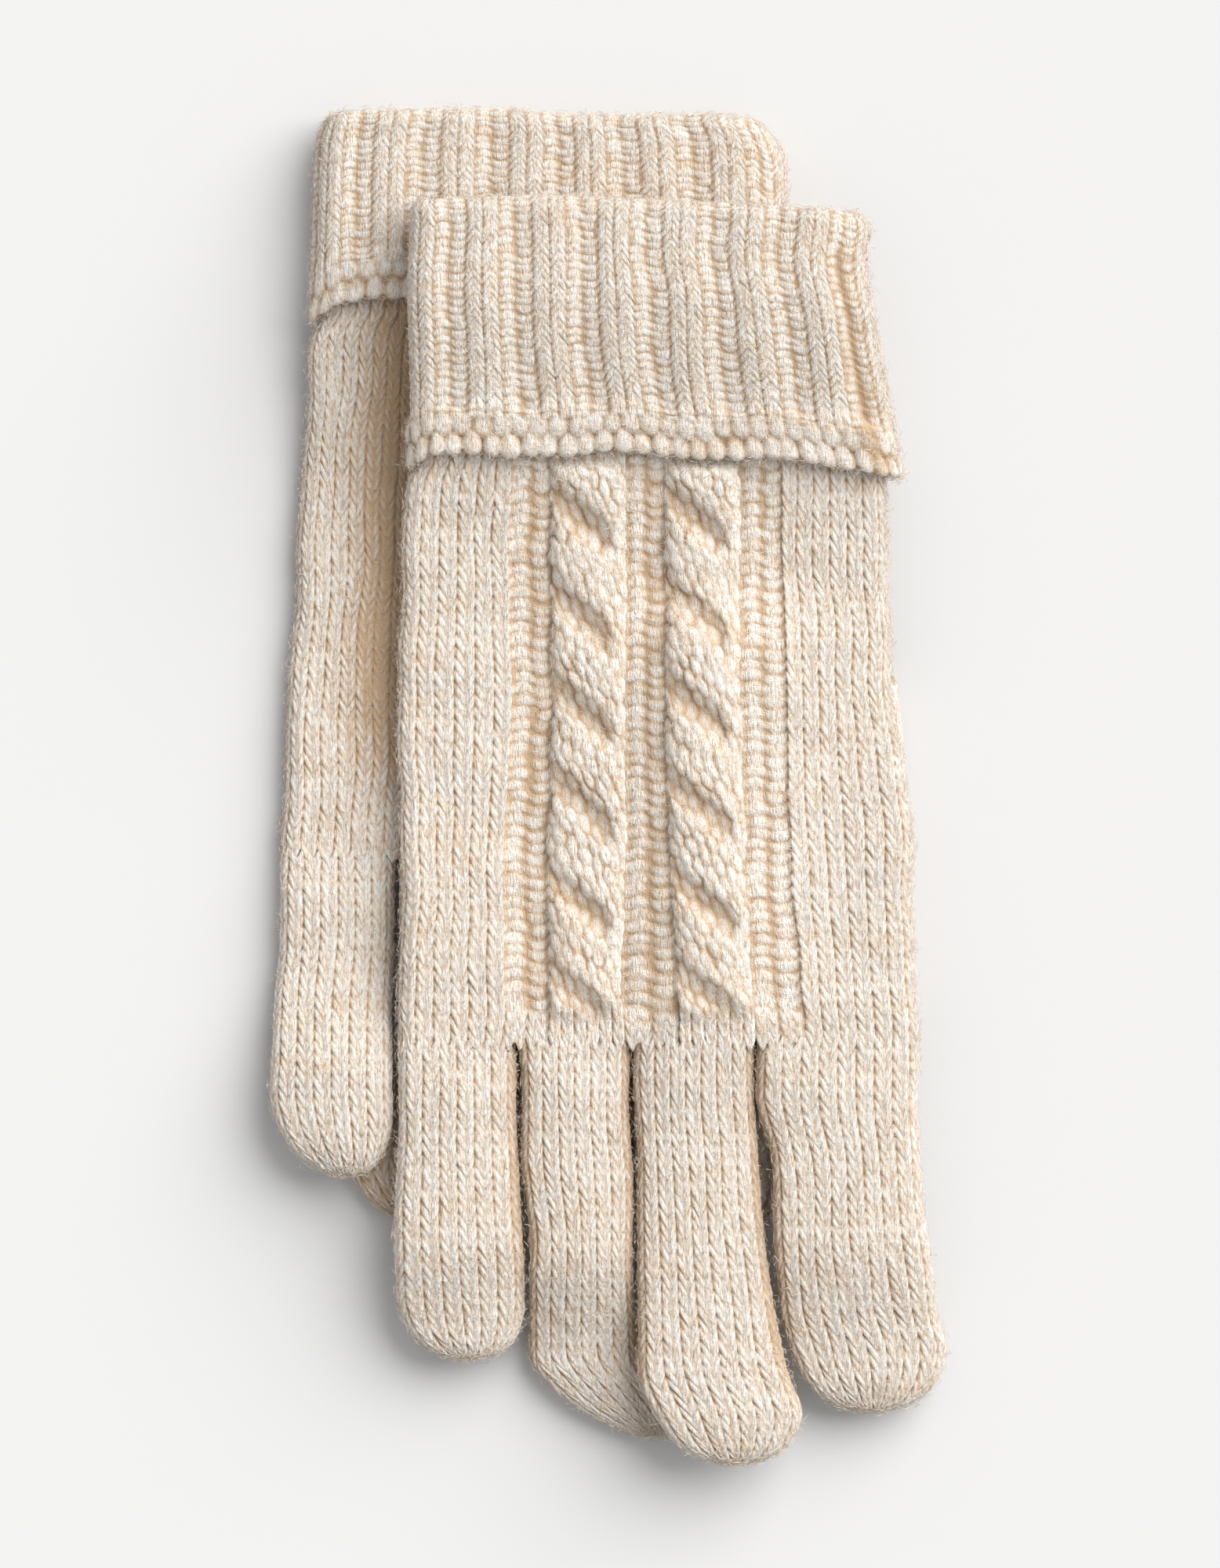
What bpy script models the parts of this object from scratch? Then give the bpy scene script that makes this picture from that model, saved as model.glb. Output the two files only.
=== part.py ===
"""A pair of cable-knit wool gloves with turned-up ribbed cuffs, laid flat, one glove on the other.

Every piece is a knitted tube. A tube is a stack of flattened rings: straight along the top from left
to right, round the right edge, back along the bottom and round the left edge. Fingers point along -Y
and cuffs along +Y. Lengths are millimetres until a mesh is made, and the mesh is in metres.
"""

from collections import namedtuple

import bmesh
import bpy
import numpy as np

MM = 0.001
MIDDLE = (-0.05, -0.2, 0.0)  # the middle of the pair's outline, on the tables' axes, becomes the origin

# Cloth
WALL = 2.6  # thickness of one layer of knitting
SEAM = 0.3  # gap between two pieces that are joined
THIN_GAP = 0.3  # least half gap inside a flattened tube
HAND_HALF = 3.0  # half the thickness of a flattened hand
FINGER_HALF = 3.5
CROWN = 0.8  # how far a finger's back domes over its edges

# Turned-up cuff: the tube runs up to the fold, turns outwards and comes back down outside itself
CUFF_HALF = 6.5  # half the thickness of the doubled cuff, over its ribs
SLIT = 0.8  # gap between the two layers
RIB_DEPTH = 0.9
RIBS = 7  # knitted ribs across one face of a cuff
RIB_SHARE = 0.54  # part of a rib's pitch that is raised
HEM_ROUND = 1.0  # rounding of the cast-on edge
FOLD_ROUND = 3.0  # how far the fold's bend reaches down the cuff

# Back of the upper hand, from the little-finger side: plain, purl, cable, purl, cable, purl, plain
PURL_DEPTH = 0.7  # the purl strips lie below the plain knitting
CABLE_RISE = 2.4  # crest of a cable over the plain knitting
CABLE_TOP = 58.0
CABLE_END = -45.5
CABLE_PITCH = 17.9  # one crossing to the next
CABLE_FIRST = 54.6  # the first groove's start at a cable's left edge
CABLE_LEAN = 0.70  # how much of the pitch a groove drops on its way to the right edge
GROOVE_DEPTH = 0.42  # share of the rise that a groove takes away
CABLE_HUMP = 2.4  # exponent of a cable's rounded section: 2 is an ellipse, more is squarer
CABLE_FADE = 3.0  # length over which the cables rise out of the hem and sink before the fingers
CABLE_SPOTS = (-1.0, -0.72, -0.36, 0.0, 0.36, 0.72, 1.0)
CABLE_FOOT = 0.5  # a cable's side meets the purl this far outside its half width
PURL_SLOPE = 0.9  # width over which plain knitting falls to the purl

# Rounded tips: exponents by which a tip's width and thickness follow the cosine of its turn
TIP_WIDTH, TIP_THICKNESS = 0.72, 0.75
OUTER_TURNS = (28.0, 50.0, 68.0, 81.0)
INNER_TURNS = (35.0, 65.0)
FILL_LENGTH = 12.0  # a finger fills out from the hand's thickness to its own over this length

# How finely the surfaces are drawn
EDGE_POINTS = 2  # round each folded edge, between its top and its bottom
BACK_POINTS = 2 * len(CABLE_SPOTS) + 10  # across the cabled back
PALM_POINTS = 10
PLAIN_POINTS = 6
CABLE_ROWS, CABLE_INNER_ROWS = 36, 14
PLAIN_ROWS, PLAIN_INNER_ROWS = 16, 10
FINGER_ROWS, FINGER_INNER_ROWS = 6, 5

Edges = namedtuple("Edges", "y left right")
Height = namedtuple("Height", "at z")
Line = namedtuple("Line", "x y")
Cables = namedtuple("Cables", "y first second half_width purl_left purl_right")
Cuff = namedtuple("Cuff", "edges fold hem bend join")
Finger = namedtuple("Finger", "name seam start tip half end_half crown fall_from fall_to fall edges")

UPPER_CUFF = Cuff(
    edges=[
        Edges(108.0, -38.2, 49.4),
        Edges(99.0, -38.1, 48.6),
        Edges(90.0, -38.0, 50.4),
        Edges(81.0, -37.9, 51.4),
        Edges(72.0, -37.9, 52.9),
        Edges(64.0, -37.9, 54.6),
        Edges(58.0, -37.9, 56.1),
    ],
    fold=[Line(-38.2, 109.0), Line(-13.0, 109.9), Line(17.0, 108.8), Line(42.0, 107.3), Line(49.0, 106.0)],
    hem=[Line(-37.5, 59.0), Line(-31.0, 61.5), Line(-13.0, 60.9), Line(2.0, 61.9), Line(17.0, 60.4),
         Line(32.0, 60.6), Line(43.0, 58.9), Line(55.0, 57.2)],
    bend=91.5,
    join=66.5,
)
LOWER_CUFF = Cuff(
    edges=[
        Edges(124.0, -54.3, 31.4),
        Edges(119.0, -55.4, 33.2),
        Edges(110.0, -55.7, 33.5),
        Edges(97.0, -55.7, 33.6),
        Edges(90.0, -56.0, 33.8),
    ],
    fold=[Line(-54.0, 125.6), Line(-43.0, 126.6), Line(-22.0, 126.8), Line(-5.6, 125.7), Line(17.0, 125.9),
          Line(26.6, 124.9), Line(31.0, 122.5)],
    hem=[Line(-55.0, 86.6), Line(-49.4, 89.9), Line(-38.0, 91.0), Line(10.0, 91.2), Line(33.0, 89.5)],
    bend=110.0,
    join=97.0,
)

UPPER_SEAM = -47.8  # where the fingers leave the hand
LOWER_SEAM = -12.5
UPPER_HAND = [
    Edges(66.5, -34.3, 50.6),
    Edges(60.0, -34.7, 51.6),
    Edges(57.0, -35.9, 52.1),
    Edges(50.4, -38.0, 52.2),
    Edges(43.4, -38.9, 52.2),
    Edges(30.0, -39.0, 53.3),
    Edges(14.7, -39.1, 53.8),
    Edges(5.0, -39.0, 55.2),
    Edges(-9.0, -39.0, 56.8),
    Edges(-25.0, -38.7, 57.4),
    Edges(-40.0, -38.9, 58.1),
    Edges(-47.8, -39.1, 58.3),
]
LOWER_HAND = [
    Edges(97.0, -52.3, 30.0),
    Edges(88.0, -52.8, 30.6),
    Edges(82.5, -55.2, 32.6),
    Edges(73.8, -56.3, 33.0),
    Edges(62.0, -57.3, 33.2),
    Edges(44.0, -58.2, 33.6),
    Edges(23.5, -59.4, 34.4),
    Edges(8.8, -60.3, 35.0),
    Edges(-12.5, -61.4, 35.4),
]
BACK_CABLES = [
    Cables(60.0, -3.5, 17.9, 7.1, 7.2, 7.4),
    Cables(15.0, -3.5, 18.2, 7.1, 7.5, 7.9),
    Cables(-20.0, -3.8, 19.2, 7.2, 8.2, 8.2),
    Cables(-47.8, -3.9, 20.6, 7.2, 8.6, 9.4),
]

# Height of the underside of each glove's hand and fingers over the table
LOWER_BED = [Height(130.0, 3.5), Height(85.0, 3.5), Height(70.0, 1.75), Height(55.0, 0.0), Height(-100.0, 0.0)]
UPPER_BED = [
    Height(112.0, 16.8),
    Height(92.0, 16.8),
    Height(84.0, 15.6),
    Height(74.0, 13.2),
    Height(64.0, 11.3),
    Height(56.0, 10.2),
    Height(46.0, 8.4),
    Height(36.0, 7.2),
    Height(26.0, 6.5),
    Height(10.0, 6.4),
    Height(-8.0, 6.7),
    Height(-14.0, 7.4),
    Height(-22.0, 8.2),
    Height(-48.0, 8.4),
    Height(-130.0, 8.4),
]
# The upper hand rides over the two thumbs, which are folded flat between the gloves and beside them
THUMB_RIDE = [
    Height(-30.0, 3.0),
    Height(-16.0, 4.5),
    Height(0.0, 8.0),
    Height(8.0, 10.4),
    Height(13.0, 11.7),
    Height(22.0, 12.0),
    Height(30.0, 11.7),
    Height(37.0, 10.6),
    Height(46.0, 9.5),
    Height(58.0, 9.0),
]
RIDE_SOFTNESS = 1.5
RIDE_FROM, RIDE_FULL, RIDE_FADES, RIDE_ENDS = 40.0, 24.0, -40.0, -66.0
OVERHANG_FROM, OVERHANG_TO, OVERHANG_DROOP = 30.0, 56.0, 1.6
OVERHANG_BELOW, OVERHANG_ABOVE = 40.0, 62.0

# The lower little finger's tip lies on the ring finger's
LITTLE_LIFT_FROM, LITTLE_LIFT_TO = -30.0, -57.0
LITTLE_LIFT_LEFT, LITTLE_LIFT_RIGHT = 4.7, 7.0
LITTLE_LEFT, LITTLE_RIGHT = -62.0, -40.6

UPPER_FINGERS = [
    Finger("little_finger", UPPER_SEAM, -97.0, -107.9, FINGER_HALF, 3.5, CROWN, -84.0, -104.0, 4.6, [
        Edges(-47.8, -39.3, -17.4),
        Edges(-58.0, -39.1, -17.2),
        Edges(-71.0, -39.4, -16.6),
        Edges(-84.0, -40.1, -16.1),
        Edges(-97.0, -39.4, -15.7),
        Edges(-108.0, -37.2, -14.9),
    ]),
    Finger("ring_finger", UPPER_SEAM, -107.0, -122.6, FINGER_HALF, 3.1, CROWN, -87.0, -110.0, 8.2, [
        Edges(-47.8, -16.7, 4.1),
        Edges(-58.0, -15.9, 3.8),
        Edges(-71.0, -15.7, 4.4),
        Edges(-84.0, -14.9, 4.6),
        Edges(-98.7, -14.8, 5.3),
        Edges(-107.0, -14.8, 5.6),
        Edges(-114.0, -10.6, 10.0),
        Edges(-122.6, -1.6, 18.0),
    ]),
    Finger("middle_finger", UPPER_SEAM, -113.0, -127.2, FINGER_HALF, 3.5, CROWN, -100.0, -126.0, 0.1, [
        Edges(-47.8, 4.8, 27.4),
        Edges(-58.0, 5.1, 26.9),
        Edges(-71.0, 5.6, 28.2),
        Edges(-84.0, 5.7, 29.3),
        Edges(-98.7, 5.7, 31.1),
        Edges(-109.3, 5.6, 33.2),
        Edges(-119.0, 8.2, 37.4),
        Edges(-127.2, 9.6, 38.4),
    ]),
    Finger("index_finger", UPPER_SEAM, -104.0, -117.5, FINGER_HALF, 3.5, CROWN, -84.0, -110.0, 5.2, [
        Edges(-47.8, 28.1, 58.3),
        Edges(-58.0, 27.9, 58.2),
        Edges(-71.0, 30.7, 58.4),
        Edges(-84.0, 31.1, 59.9),
        Edges(-98.7, 32.2, 61.7),
        Edges(-106.0, 34.1, 63.3),
        Edges(-117.5, 35.6, 64.0),
    ]),
]
LOWER_FINGERS = [
    Finger("little_finger", LOWER_SEAM, -59.0, -73.4, FINGER_HALF, 3.2, CROWN, 0.0, -1.0, 0.0, [
        Edges(-12.5, -61.4, -39.9),
        Edges(-29.0, -61.5, -40.3),
        Edges(-44.0, -62.7, -40.7),
        Edges(-55.9, -63.2, -40.6),
        Edges(-63.0, -62.4, -40.2),
        Edges(-73.4, -59.2, -39.4),
    ]),
    Finger("ring_finger", LOWER_SEAM, -70.0, -84.2, FINGER_HALF, 2.7, CROWN, 0.0, -1.0, 0.0, [
        Edges(-12.5, -39.3, -18.2),
        Edges(-40.0, -39.0, -18.6),
        Edges(-50.0, -40.0, -19.6),
        Edges(-58.0, -43.2, -22.6),
        Edges(-66.0, -47.2, -26.4),
        Edges(-72.0, -48.6, -27.8),
        Edges(-77.0, -47.0, -26.4),
        Edges(-84.2, -42.0, -22.0),
    ]),
    Finger("middle_finger", LOWER_SEAM, -78.0, -91.8, HAND_HALF, HAND_HALF, 0.0, 0.0, -1.0, 0.0, [
        Edges(-12.5, -17.6, 4.8),
        Edges(-50.0, -17.0, 5.4),
        Edges(-91.8, -16.0, 7.0),
    ]),
    Finger("index_finger", LOWER_SEAM, -68.0, -82.0, HAND_HALF, HAND_HALF, 0.0, 0.0, -1.0, 0.0, [
        Edges(-12.5, 5.4, 35.4),
        Edges(-50.0, 8.0, 37.0),
        Edges(-82.0, 11.5, 39.5),
    ]),
]
# Both thumbs are folded flat: the lower one on its palm, the upper one under its palm, beside the lower hand
UPPER_THUMB = Finger("thumb", 19.1, -38.0, -48.5, 3.5, 3.5, 0.0, 0.0, -1.0, 0.0, [
    Edges(19.1, 37.6, 54.4), Edges(5.0, 37.0, 55.4), Edges(-48.5, 37.4, 55.2)])
LOWER_THUMB = Finger("thumb", 20.6, -29.0, -39.7, 2.5, 2.5, 0.0, 0.0, -1.0, 0.0, [
    Edges(20.6, 12.6, 29.2), Edges(5.0, 11.4, 30.6), Edges(-39.7, 11.4, 30.4)])
UPPER_THUMB_BED, LOWER_THUMB_BED = 1.9, 6.3

WOOL_COLOUR = (0.76, 0.66, 0.55, 1.0)
WOOL_ROUGHNESS = 0.95


def ease(share):
    """0 to 1 with soft ends."""
    share = np.clip(share, 0.0, 1.0)
    return share * share * (3.0 - 2.0 * share)


def curve(keys, values, at):
    """A cubic through a table's points that never swings past them: where the steps on both sides
    of a point lead the same way its slope is their harmonic mean, and otherwise it is level there.
    """
    order = np.argsort(keys)
    keys, values = np.asarray(keys, float)[order], np.asarray(values, float)[order]
    steps = np.diff(values) / np.diff(keys)
    before, after = steps[:-1], steps[1:]
    same_way = before * after > 0.0
    total = np.where(same_way, before + after, 1.0)
    inside = np.where(same_way, 2.0 * before * after / total, 0.0)
    slopes = np.concatenate([steps[:1], inside, steps[-1:]])
    at = np.clip(np.asarray(at, float), keys[0], keys[-1])
    i = np.clip(np.searchsorted(keys, at) - 1, 0, len(keys) - 2)
    step = keys[i + 1] - keys[i]
    t = (at - keys[i]) / step
    return (
        (1 + 2 * t) * (1 - t) ** 2 * values[i]
        + t * (1 - t) ** 2 * step * slopes[i]
        + t * t * (3 - 2 * t) * values[i + 1]
        - t * t * (1 - t) * step * slopes[i + 1]
    )


def column(table, key, value, at):
    """One named column of a table, read at places along another."""
    return curve([getattr(row, key) for row in table], [getattr(row, value) for row in table], at)


def lower_bed(x, y):
    return column(LOWER_BED, "at", "z", y) + 0.0 * x


def lower_little_bed(x, y):
    across = (x - LITTLE_LEFT) / (LITTLE_RIGHT - LITTLE_LEFT)
    lift = LITTLE_LIFT_LEFT + (LITTLE_LIFT_RIGHT - LITTLE_LIFT_LEFT) * np.clip(across, 0.0, 1.0)
    return lift * ease((LITTLE_LIFT_FROM - y) / (LITTLE_LIFT_FROM - LITTLE_LIFT_TO))


def upper_bed(x, y):
    bed = column(UPPER_BED, "at", "z", y) + 0.0 * x
    over = column(THUMB_RIDE, "at", "z", x) - bed
    along = ease((RIDE_FROM - y) / (RIDE_FROM - RIDE_FULL)) * ease((y - RIDE_ENDS) / (RIDE_FADES - RIDE_ENDS))
    ride = 0.5 * (over + np.sqrt(over**2 + RIDE_SOFTNESS**2)) * along
    droop = OVERHANG_DROOP * ease((x - OVERHANG_FROM) / (OVERHANG_TO - OVERHANG_FROM))
    return bed + ride - droop * ease((y - OVERHANG_BELOW) / (OVERHANG_ABOVE - OVERHANG_BELOW))


def flat_ring(left, right, half, top, bottom):
    """(across, height) points round a flattened tube. top and bottom are shares of its flat run."""
    start, end = left + half, right - half
    turn = np.pi * np.arange(1, EDGE_POINTS + 1) / (EDGE_POINTS + 1)
    across = np.concatenate([
        start + (end - start) * top,
        end + half * np.sin(turn),
        end - (end - start) * bottom,
        start - half * np.sin(turn),
    ])
    height = np.concatenate([
        np.full(len(top), half),
        half * np.cos(turn),
        np.full(len(bottom), -half),
        -half * np.cos(turn),
    ])
    return across, height


def place(x, y, height, half, bed, bed_y):
    """Points of a ring over the bed that the piece rests on."""
    return np.stack([x, y + 0.0 * x, bed(x, bed_y) + half + height], axis=1)


def wool():
    """Cream marled wool: matt and slightly pink."""
    material = bpy.data.materials.new("cream_wool")
    material.use_nodes = True
    shader = material.node_tree.nodes["Principled BSDF"]
    shader.inputs["Base Color"].default_value = WOOL_COLOUR
    shader.inputs["Roughness"].default_value = WOOL_ROUGHNESS
    shader.inputs["Metallic"].default_value = 0.0
    return material


def solid(name, rings, closed, material):
    """A closed body through a stack of rings. A ring of one point is a pole.

    closed joins the last ring to the first, as for a tube that is open at both ends.
    """
    mesh = bmesh.new()
    loops = [[mesh.verts.new((point - MIDDLE) * MM) for point in ring] for ring in rings]
    following = loops[1:] + loops[:1] if closed else loops[1:]
    for one, two in zip(loops, following):
        count = max(len(one), len(two))
        for k in range(count):
            corners = [one[k % len(one)], one[(k + 1) % len(one)], two[(k + 1) % len(two)], two[k % len(two)]]
            mesh.faces.new(list(dict.fromkeys(corners)))
    bmesh.ops.triangulate(mesh, faces=mesh.faces[:])
    bmesh.ops.recalc_face_normals(mesh, faces=mesh.faces[:])
    data = bpy.data.meshes.new(name)
    mesh.to_mesh(data)
    mesh.free()
    data.shade_smooth()
    data.set_sharp_from_angle(angle=np.radians(50.0))
    data.materials.append(material)
    bpy.context.scene.collection.objects.link(bpy.data.objects.new(name, data))


def rib_spots():
    """Shares across a cuff's face, four to a rib, and which of them lie in the furrows between ribs."""
    pitch = 1.0 / RIBS
    shares, furrows = [], []
    for rib in range(1, RIBS):
        middle = rib * pitch
        half_furrow = 0.5 * pitch * (1.0 - RIB_SHARE)
        shares += [middle - 1.5 * half_furrow, middle - 0.7 * half_furrow,
                   middle + 0.7 * half_furrow, middle + 1.5 * half_furrow]
        furrows += [False, True, True, False]
    return np.array([0.0] + shares + [1.0]), np.array([False] + furrows + [False])


def cuff_profile(length, bend, join):
    """The doubled wall, from its inner end up to the fold, down outside to the hem and back up the slit.

    Each row is (distance from the fold, half thickness there, share of the rib's depth). bend and join
    are the distances where the cuff starts to bend down over what it lies on and where the hand starts.
    """
    inner, slit_out = HAND_HALF, HAND_HALF + SLIT
    mouth = HAND_HALF - WALL
    outer_mean = 0.5 * (slit_out + CUFF_HALF)
    return [
        (join, mouth, 0.0),
        (bend, mouth, 0.0),
        (FOLD_ROUND, mouth, 0.0),
        (0.3 * FOLD_ROUND, 0.35 * CUFF_HALF, 0.0),
        (0.0, 0.6 * CUFF_HALF, 0.0),
        (0.3 * FOLD_ROUND, 0.87 * CUFF_HALF, 0.4),
        (FOLD_ROUND, CUFF_HALF, 1.0),
        (bend, CUFF_HALF, 1.0),
        (join, CUFF_HALF, 1.0),
        (length - 1.5 * HEM_ROUND, CUFF_HALF, 0.6),
        (length - 0.3 * HEM_ROUND, CUFF_HALF - 0.5 * HEM_ROUND, 0.2),
        (length, outer_mean, 0.0),
        (length - 0.3 * HEM_ROUND, slit_out, 0.0),
        (join, slit_out, 0.0),
        (bend, slit_out, 0.0),
        (FOLD_ROUND, slit_out, 0.0),
        (FOLD_ROUND, inner, 0.0),
        (bend, inner, 0.0),
        (join, inner, 0.0),
    ]


def make_cuff(name, cuff, bed, ribs_below, material):
    """A doubled, ribbed tube. ribs_below is false where its underside lies flat on the table."""
    top, furrow = rib_spots()
    bottom = top if ribs_below else np.array([0.0, 0.33, 0.67, 1.0])
    fold_y = np.mean([point.y for point in cuff.fold])
    hem_y = np.mean([point.y for point in cuff.hem])
    length = fold_y - hem_y
    rings = []
    for along, half, rib in cuff_profile(length, fold_y - cuff.bend, fold_y - cuff.join):
        y = fold_y - along
        left = column(cuff.edges, "y", "left", y) + (CUFF_HALF - half)
        right = column(cuff.edges, "y", "right", y) - (CUFF_HALF - half)
        x, height = flat_ring(left, right, half, top, bottom)
        height[: len(top)] -= RIB_DEPTH * rib * furrow
        if ribs_below:
            start = len(top) + EDGE_POINTS
            height[start:start + len(bottom)] += RIB_DEPTH * rib * furrow[::-1]
        share = along / length
        outside = half > HAND_HALF + 0.5 * SLIT
        wave = (1.0 - share) * (column(cuff.fold, "x", "y", x) - fold_y)
        if outside:
            wave = wave + share * (column(cuff.hem, "x", "y", x) - hem_y)
        else:
            wave = wave * (1.0 - along / (fold_y - cuff.join)) / (1.0 - share)
        points = place(x, y, height + CUFF_HALF - HAND_HALF, HAND_HALF - (CUFF_HALF - HAND_HALF), bed, y)
        points[:, 1] += wave
        rings.append(points)
    solid(name, rings, True, material)


def cable_height(xi, y):
    """Crest of a rope cable over the plain knitting, xi running from -1 at its left edge to 1.

    A round hump across, from which the slanting groove between two strands takes a share.
    """
    turn = (y - CABLE_FIRST) / CABLE_PITCH + CABLE_LEAN * 0.5 * (xi + 1.0)
    groove = (0.5 + 0.5 * np.cos(2.0 * np.pi * turn)) ** 2
    hump = np.sqrt(np.clip(1.0 - np.abs(xi) ** CABLE_HUMP, 0.0, 1.0))
    return (CABLE_RISE + PURL_DEPTH) * hump * (1.0 - GROOVE_DEPTH * groove) - PURL_DEPTH


def back_relief(y, start, end):
    """(across, height) of the back's points: the purl strips sunk and both cables raised."""
    at = {name: column(BACK_CABLES, "y", name, y) for name in Cables._fields[1:]}
    shown = ease((CABLE_TOP + CABLE_FADE - y) / CABLE_FADE) * ease((y - CABLE_END) / CABLE_FADE)
    half = at["half_width"]
    spots = np.array(CABLE_SPOTS)
    across, height = [start], [0.0]

    def add(x, h):
        across.append(x)
        height.append(h * shown)

    add(at["first"] - half - at["purl_left"], 0.0)
    add(at["first"] - half - at["purl_left"] + PURL_SLOPE, -PURL_DEPTH)
    add(at["first"] - half - CABLE_FOOT, -PURL_DEPTH)
    for centre in (at["first"], at["second"]):
        for xi, rise in zip(spots, cable_height(spots, y)):
            add(centre + xi * half, rise)
        if centre == at["first"]:
            add(at["first"] + half + CABLE_FOOT, -PURL_DEPTH)
            add(at["second"] - half - CABLE_FOOT, -PURL_DEPTH)
    add(at["second"] + half + CABLE_FOOT, -PURL_DEPTH)
    add(at["second"] + half + at["purl_right"] - PURL_SLOPE, -PURL_DEPTH)
    add(at["second"] + half + at["purl_right"], 0.0)
    return np.array(across + [end]), np.array(height + [0.0])


def make_hand(name, edges, top_y, seam_y, bed, cabled, material):
    """A tube from the end of the cuff's inner layer to the fingers, cabled on its back or plain."""
    plain = np.linspace(0.0, 1.0, BACK_POINTS if cabled else PLAIN_POINTS)
    bottom = np.linspace(0.0, 1.0, PALM_POINTS if cabled else PLAIN_POINTS)

    def ring(y, half, inset, relief):
        left = column(edges, "y", "left", y) + inset
        right = column(edges, "y", "right", y) - inset
        x, height = flat_ring(left, right, half, plain, bottom)
        if cabled:
            over_x, over_h = back_relief(y, left + half, right - half)
            x[: len(plain)] = over_x
            if relief:
                height[: len(plain)] += over_h
        return place(x, y, height, HAND_HALF, bed, y)

    outer_y = np.linspace(top_y - SEAM, seam_y, CABLE_ROWS if cabled else PLAIN_ROWS)
    inner_y = np.linspace(seam_y, top_y - SEAM, CABLE_INNER_ROWS if cabled else PLAIN_INNER_ROWS)
    rings = [ring(y, HAND_HALF, 0.0, True) for y in outer_y]
    rings += [ring(y, HAND_HALF - WALL, WALL, False) for y in inner_y]
    solid(name, rings, True, material)


def make_finger(name, finger, bed, material):
    """A tube that is open at its seam and closed in a round tip."""
    top, bottom = np.linspace(0.0, 1.0, 5), np.array([0.0, 0.5, 1.0])
    base_half = min(HAND_HALF, finger.half)
    base_y = finger.seam - SEAM

    def ring(y, narrowing, wall):
        along = ease((base_y - y) / FILL_LENGTH)
        late = ease((base_y - y) / (base_y - finger.start))
        half = base_half + (finger.half - base_half) * along + (finger.end_half - finger.half) * late
        left = column(finger.edges, "y", "left", y)
        right = column(finger.edges, "y", "right", y)
        middle, reach = 0.5 * (left + right), 0.5 * (right - left) - wall
        inner = (half - wall) * narrowing**TIP_THICKNESS
        x, height = flat_ring(middle - reach * narrowing, middle + reach * narrowing, inner, top, bottom)
        height[: len(top)] += finger.crown * along * (1.0 - (2.0 * top - 1.0) ** 2) * narrowing
        fall = finger.fall * ease((finger.fall_from - y) / (finger.fall_from - finger.fall_to))
        points = place(x, y, height, half, bed, y)
        points[:, 2] -= fall
        return points

    def side(wall, count, angles):
        reach = finger.start - finger.tip - wall
        rings = [ring(y, 1.0, wall) for y in np.linspace(base_y, finger.start, count)]
        for angle in np.radians(angles):
            rings.append(ring(finger.start - reach * np.sin(angle), np.cos(angle) ** TIP_WIDTH, wall))
        pole = ring(finger.tip + wall, 1e-3, wall).mean(axis=0)
        return rings + [pole[None]]

    outer = side(0.0, FINGER_ROWS, OUTER_TURNS)
    inner = side(min(WALL, finger.half - THIN_GAP), FINGER_INNER_ROWS, INNER_TURNS)
    solid(name, inner[::-1] + outer, False, material)


def main():
    for thing in list(bpy.data.objects):
        bpy.data.objects.remove(thing)
    material = wool()
    make_cuff("upper_cuff", UPPER_CUFF, upper_bed, True, material)
    make_cuff("lower_cuff", LOWER_CUFF, lower_bed, False, material)
    make_hand("upper_hand", UPPER_HAND, UPPER_CUFF.join, UPPER_SEAM, upper_bed, True, material)
    make_hand("lower_hand", LOWER_HAND, LOWER_CUFF.join, LOWER_SEAM, lower_bed, False, material)
    for finger in UPPER_FINGERS:
        make_finger("upper_" + finger.name, finger, upper_bed, material)
    for finger in LOWER_FINGERS:
        bed = lower_little_bed if finger.name == "little_finger" else lower_bed
        make_finger("lower_" + finger.name, finger, bed, material)
    make_finger("upper_thumb", UPPER_THUMB, lambda x, y: UPPER_THUMB_BED + 0.0 * x, material)
    make_finger("lower_thumb", LOWER_THUMB, lambda x, y: LOWER_THUMB_BED + 0.0 * x, material)


main()
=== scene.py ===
"""The looks of a pair of cable-knit wool gloves, laid flat, one glove on the other.

Every piece is a knitted tube, worked out as a smooth surface of two parameters: w counts wales
(columns of stitches) round the tube and r counts courses (rows of stitches) along it. The stitches
are raised on that surface on a grid whose rows follow the legs of the stitches. Fingers point along
-Y and cuffs along +Y. Lengths are millimetres until a mesh is made, and the mesh is in metres.
"""

from __future__ import annotations

import sys

import logging
from abc import ABC, abstractmethod
from collections.abc import Callable, Sequence
from dataclasses import dataclass, field
from enum import Enum
from typing import NamedTuple

import bpy
import numpy as np
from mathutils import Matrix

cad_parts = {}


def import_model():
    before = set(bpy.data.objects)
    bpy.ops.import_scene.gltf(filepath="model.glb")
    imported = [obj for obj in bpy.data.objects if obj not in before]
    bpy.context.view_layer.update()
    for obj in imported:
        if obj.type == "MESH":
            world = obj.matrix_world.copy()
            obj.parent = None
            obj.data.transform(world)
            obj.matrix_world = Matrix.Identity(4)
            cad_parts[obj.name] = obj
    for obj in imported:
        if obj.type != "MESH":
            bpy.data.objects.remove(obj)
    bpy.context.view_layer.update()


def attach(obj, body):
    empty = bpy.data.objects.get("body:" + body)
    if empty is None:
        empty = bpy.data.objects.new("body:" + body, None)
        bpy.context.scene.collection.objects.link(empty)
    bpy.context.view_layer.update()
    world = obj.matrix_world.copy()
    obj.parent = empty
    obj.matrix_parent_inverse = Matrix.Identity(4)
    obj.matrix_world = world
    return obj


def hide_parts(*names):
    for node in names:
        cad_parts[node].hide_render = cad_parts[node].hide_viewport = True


logging.basicConfig(level=logging.INFO, format="%(message)s", stream=sys.stdout)
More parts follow.
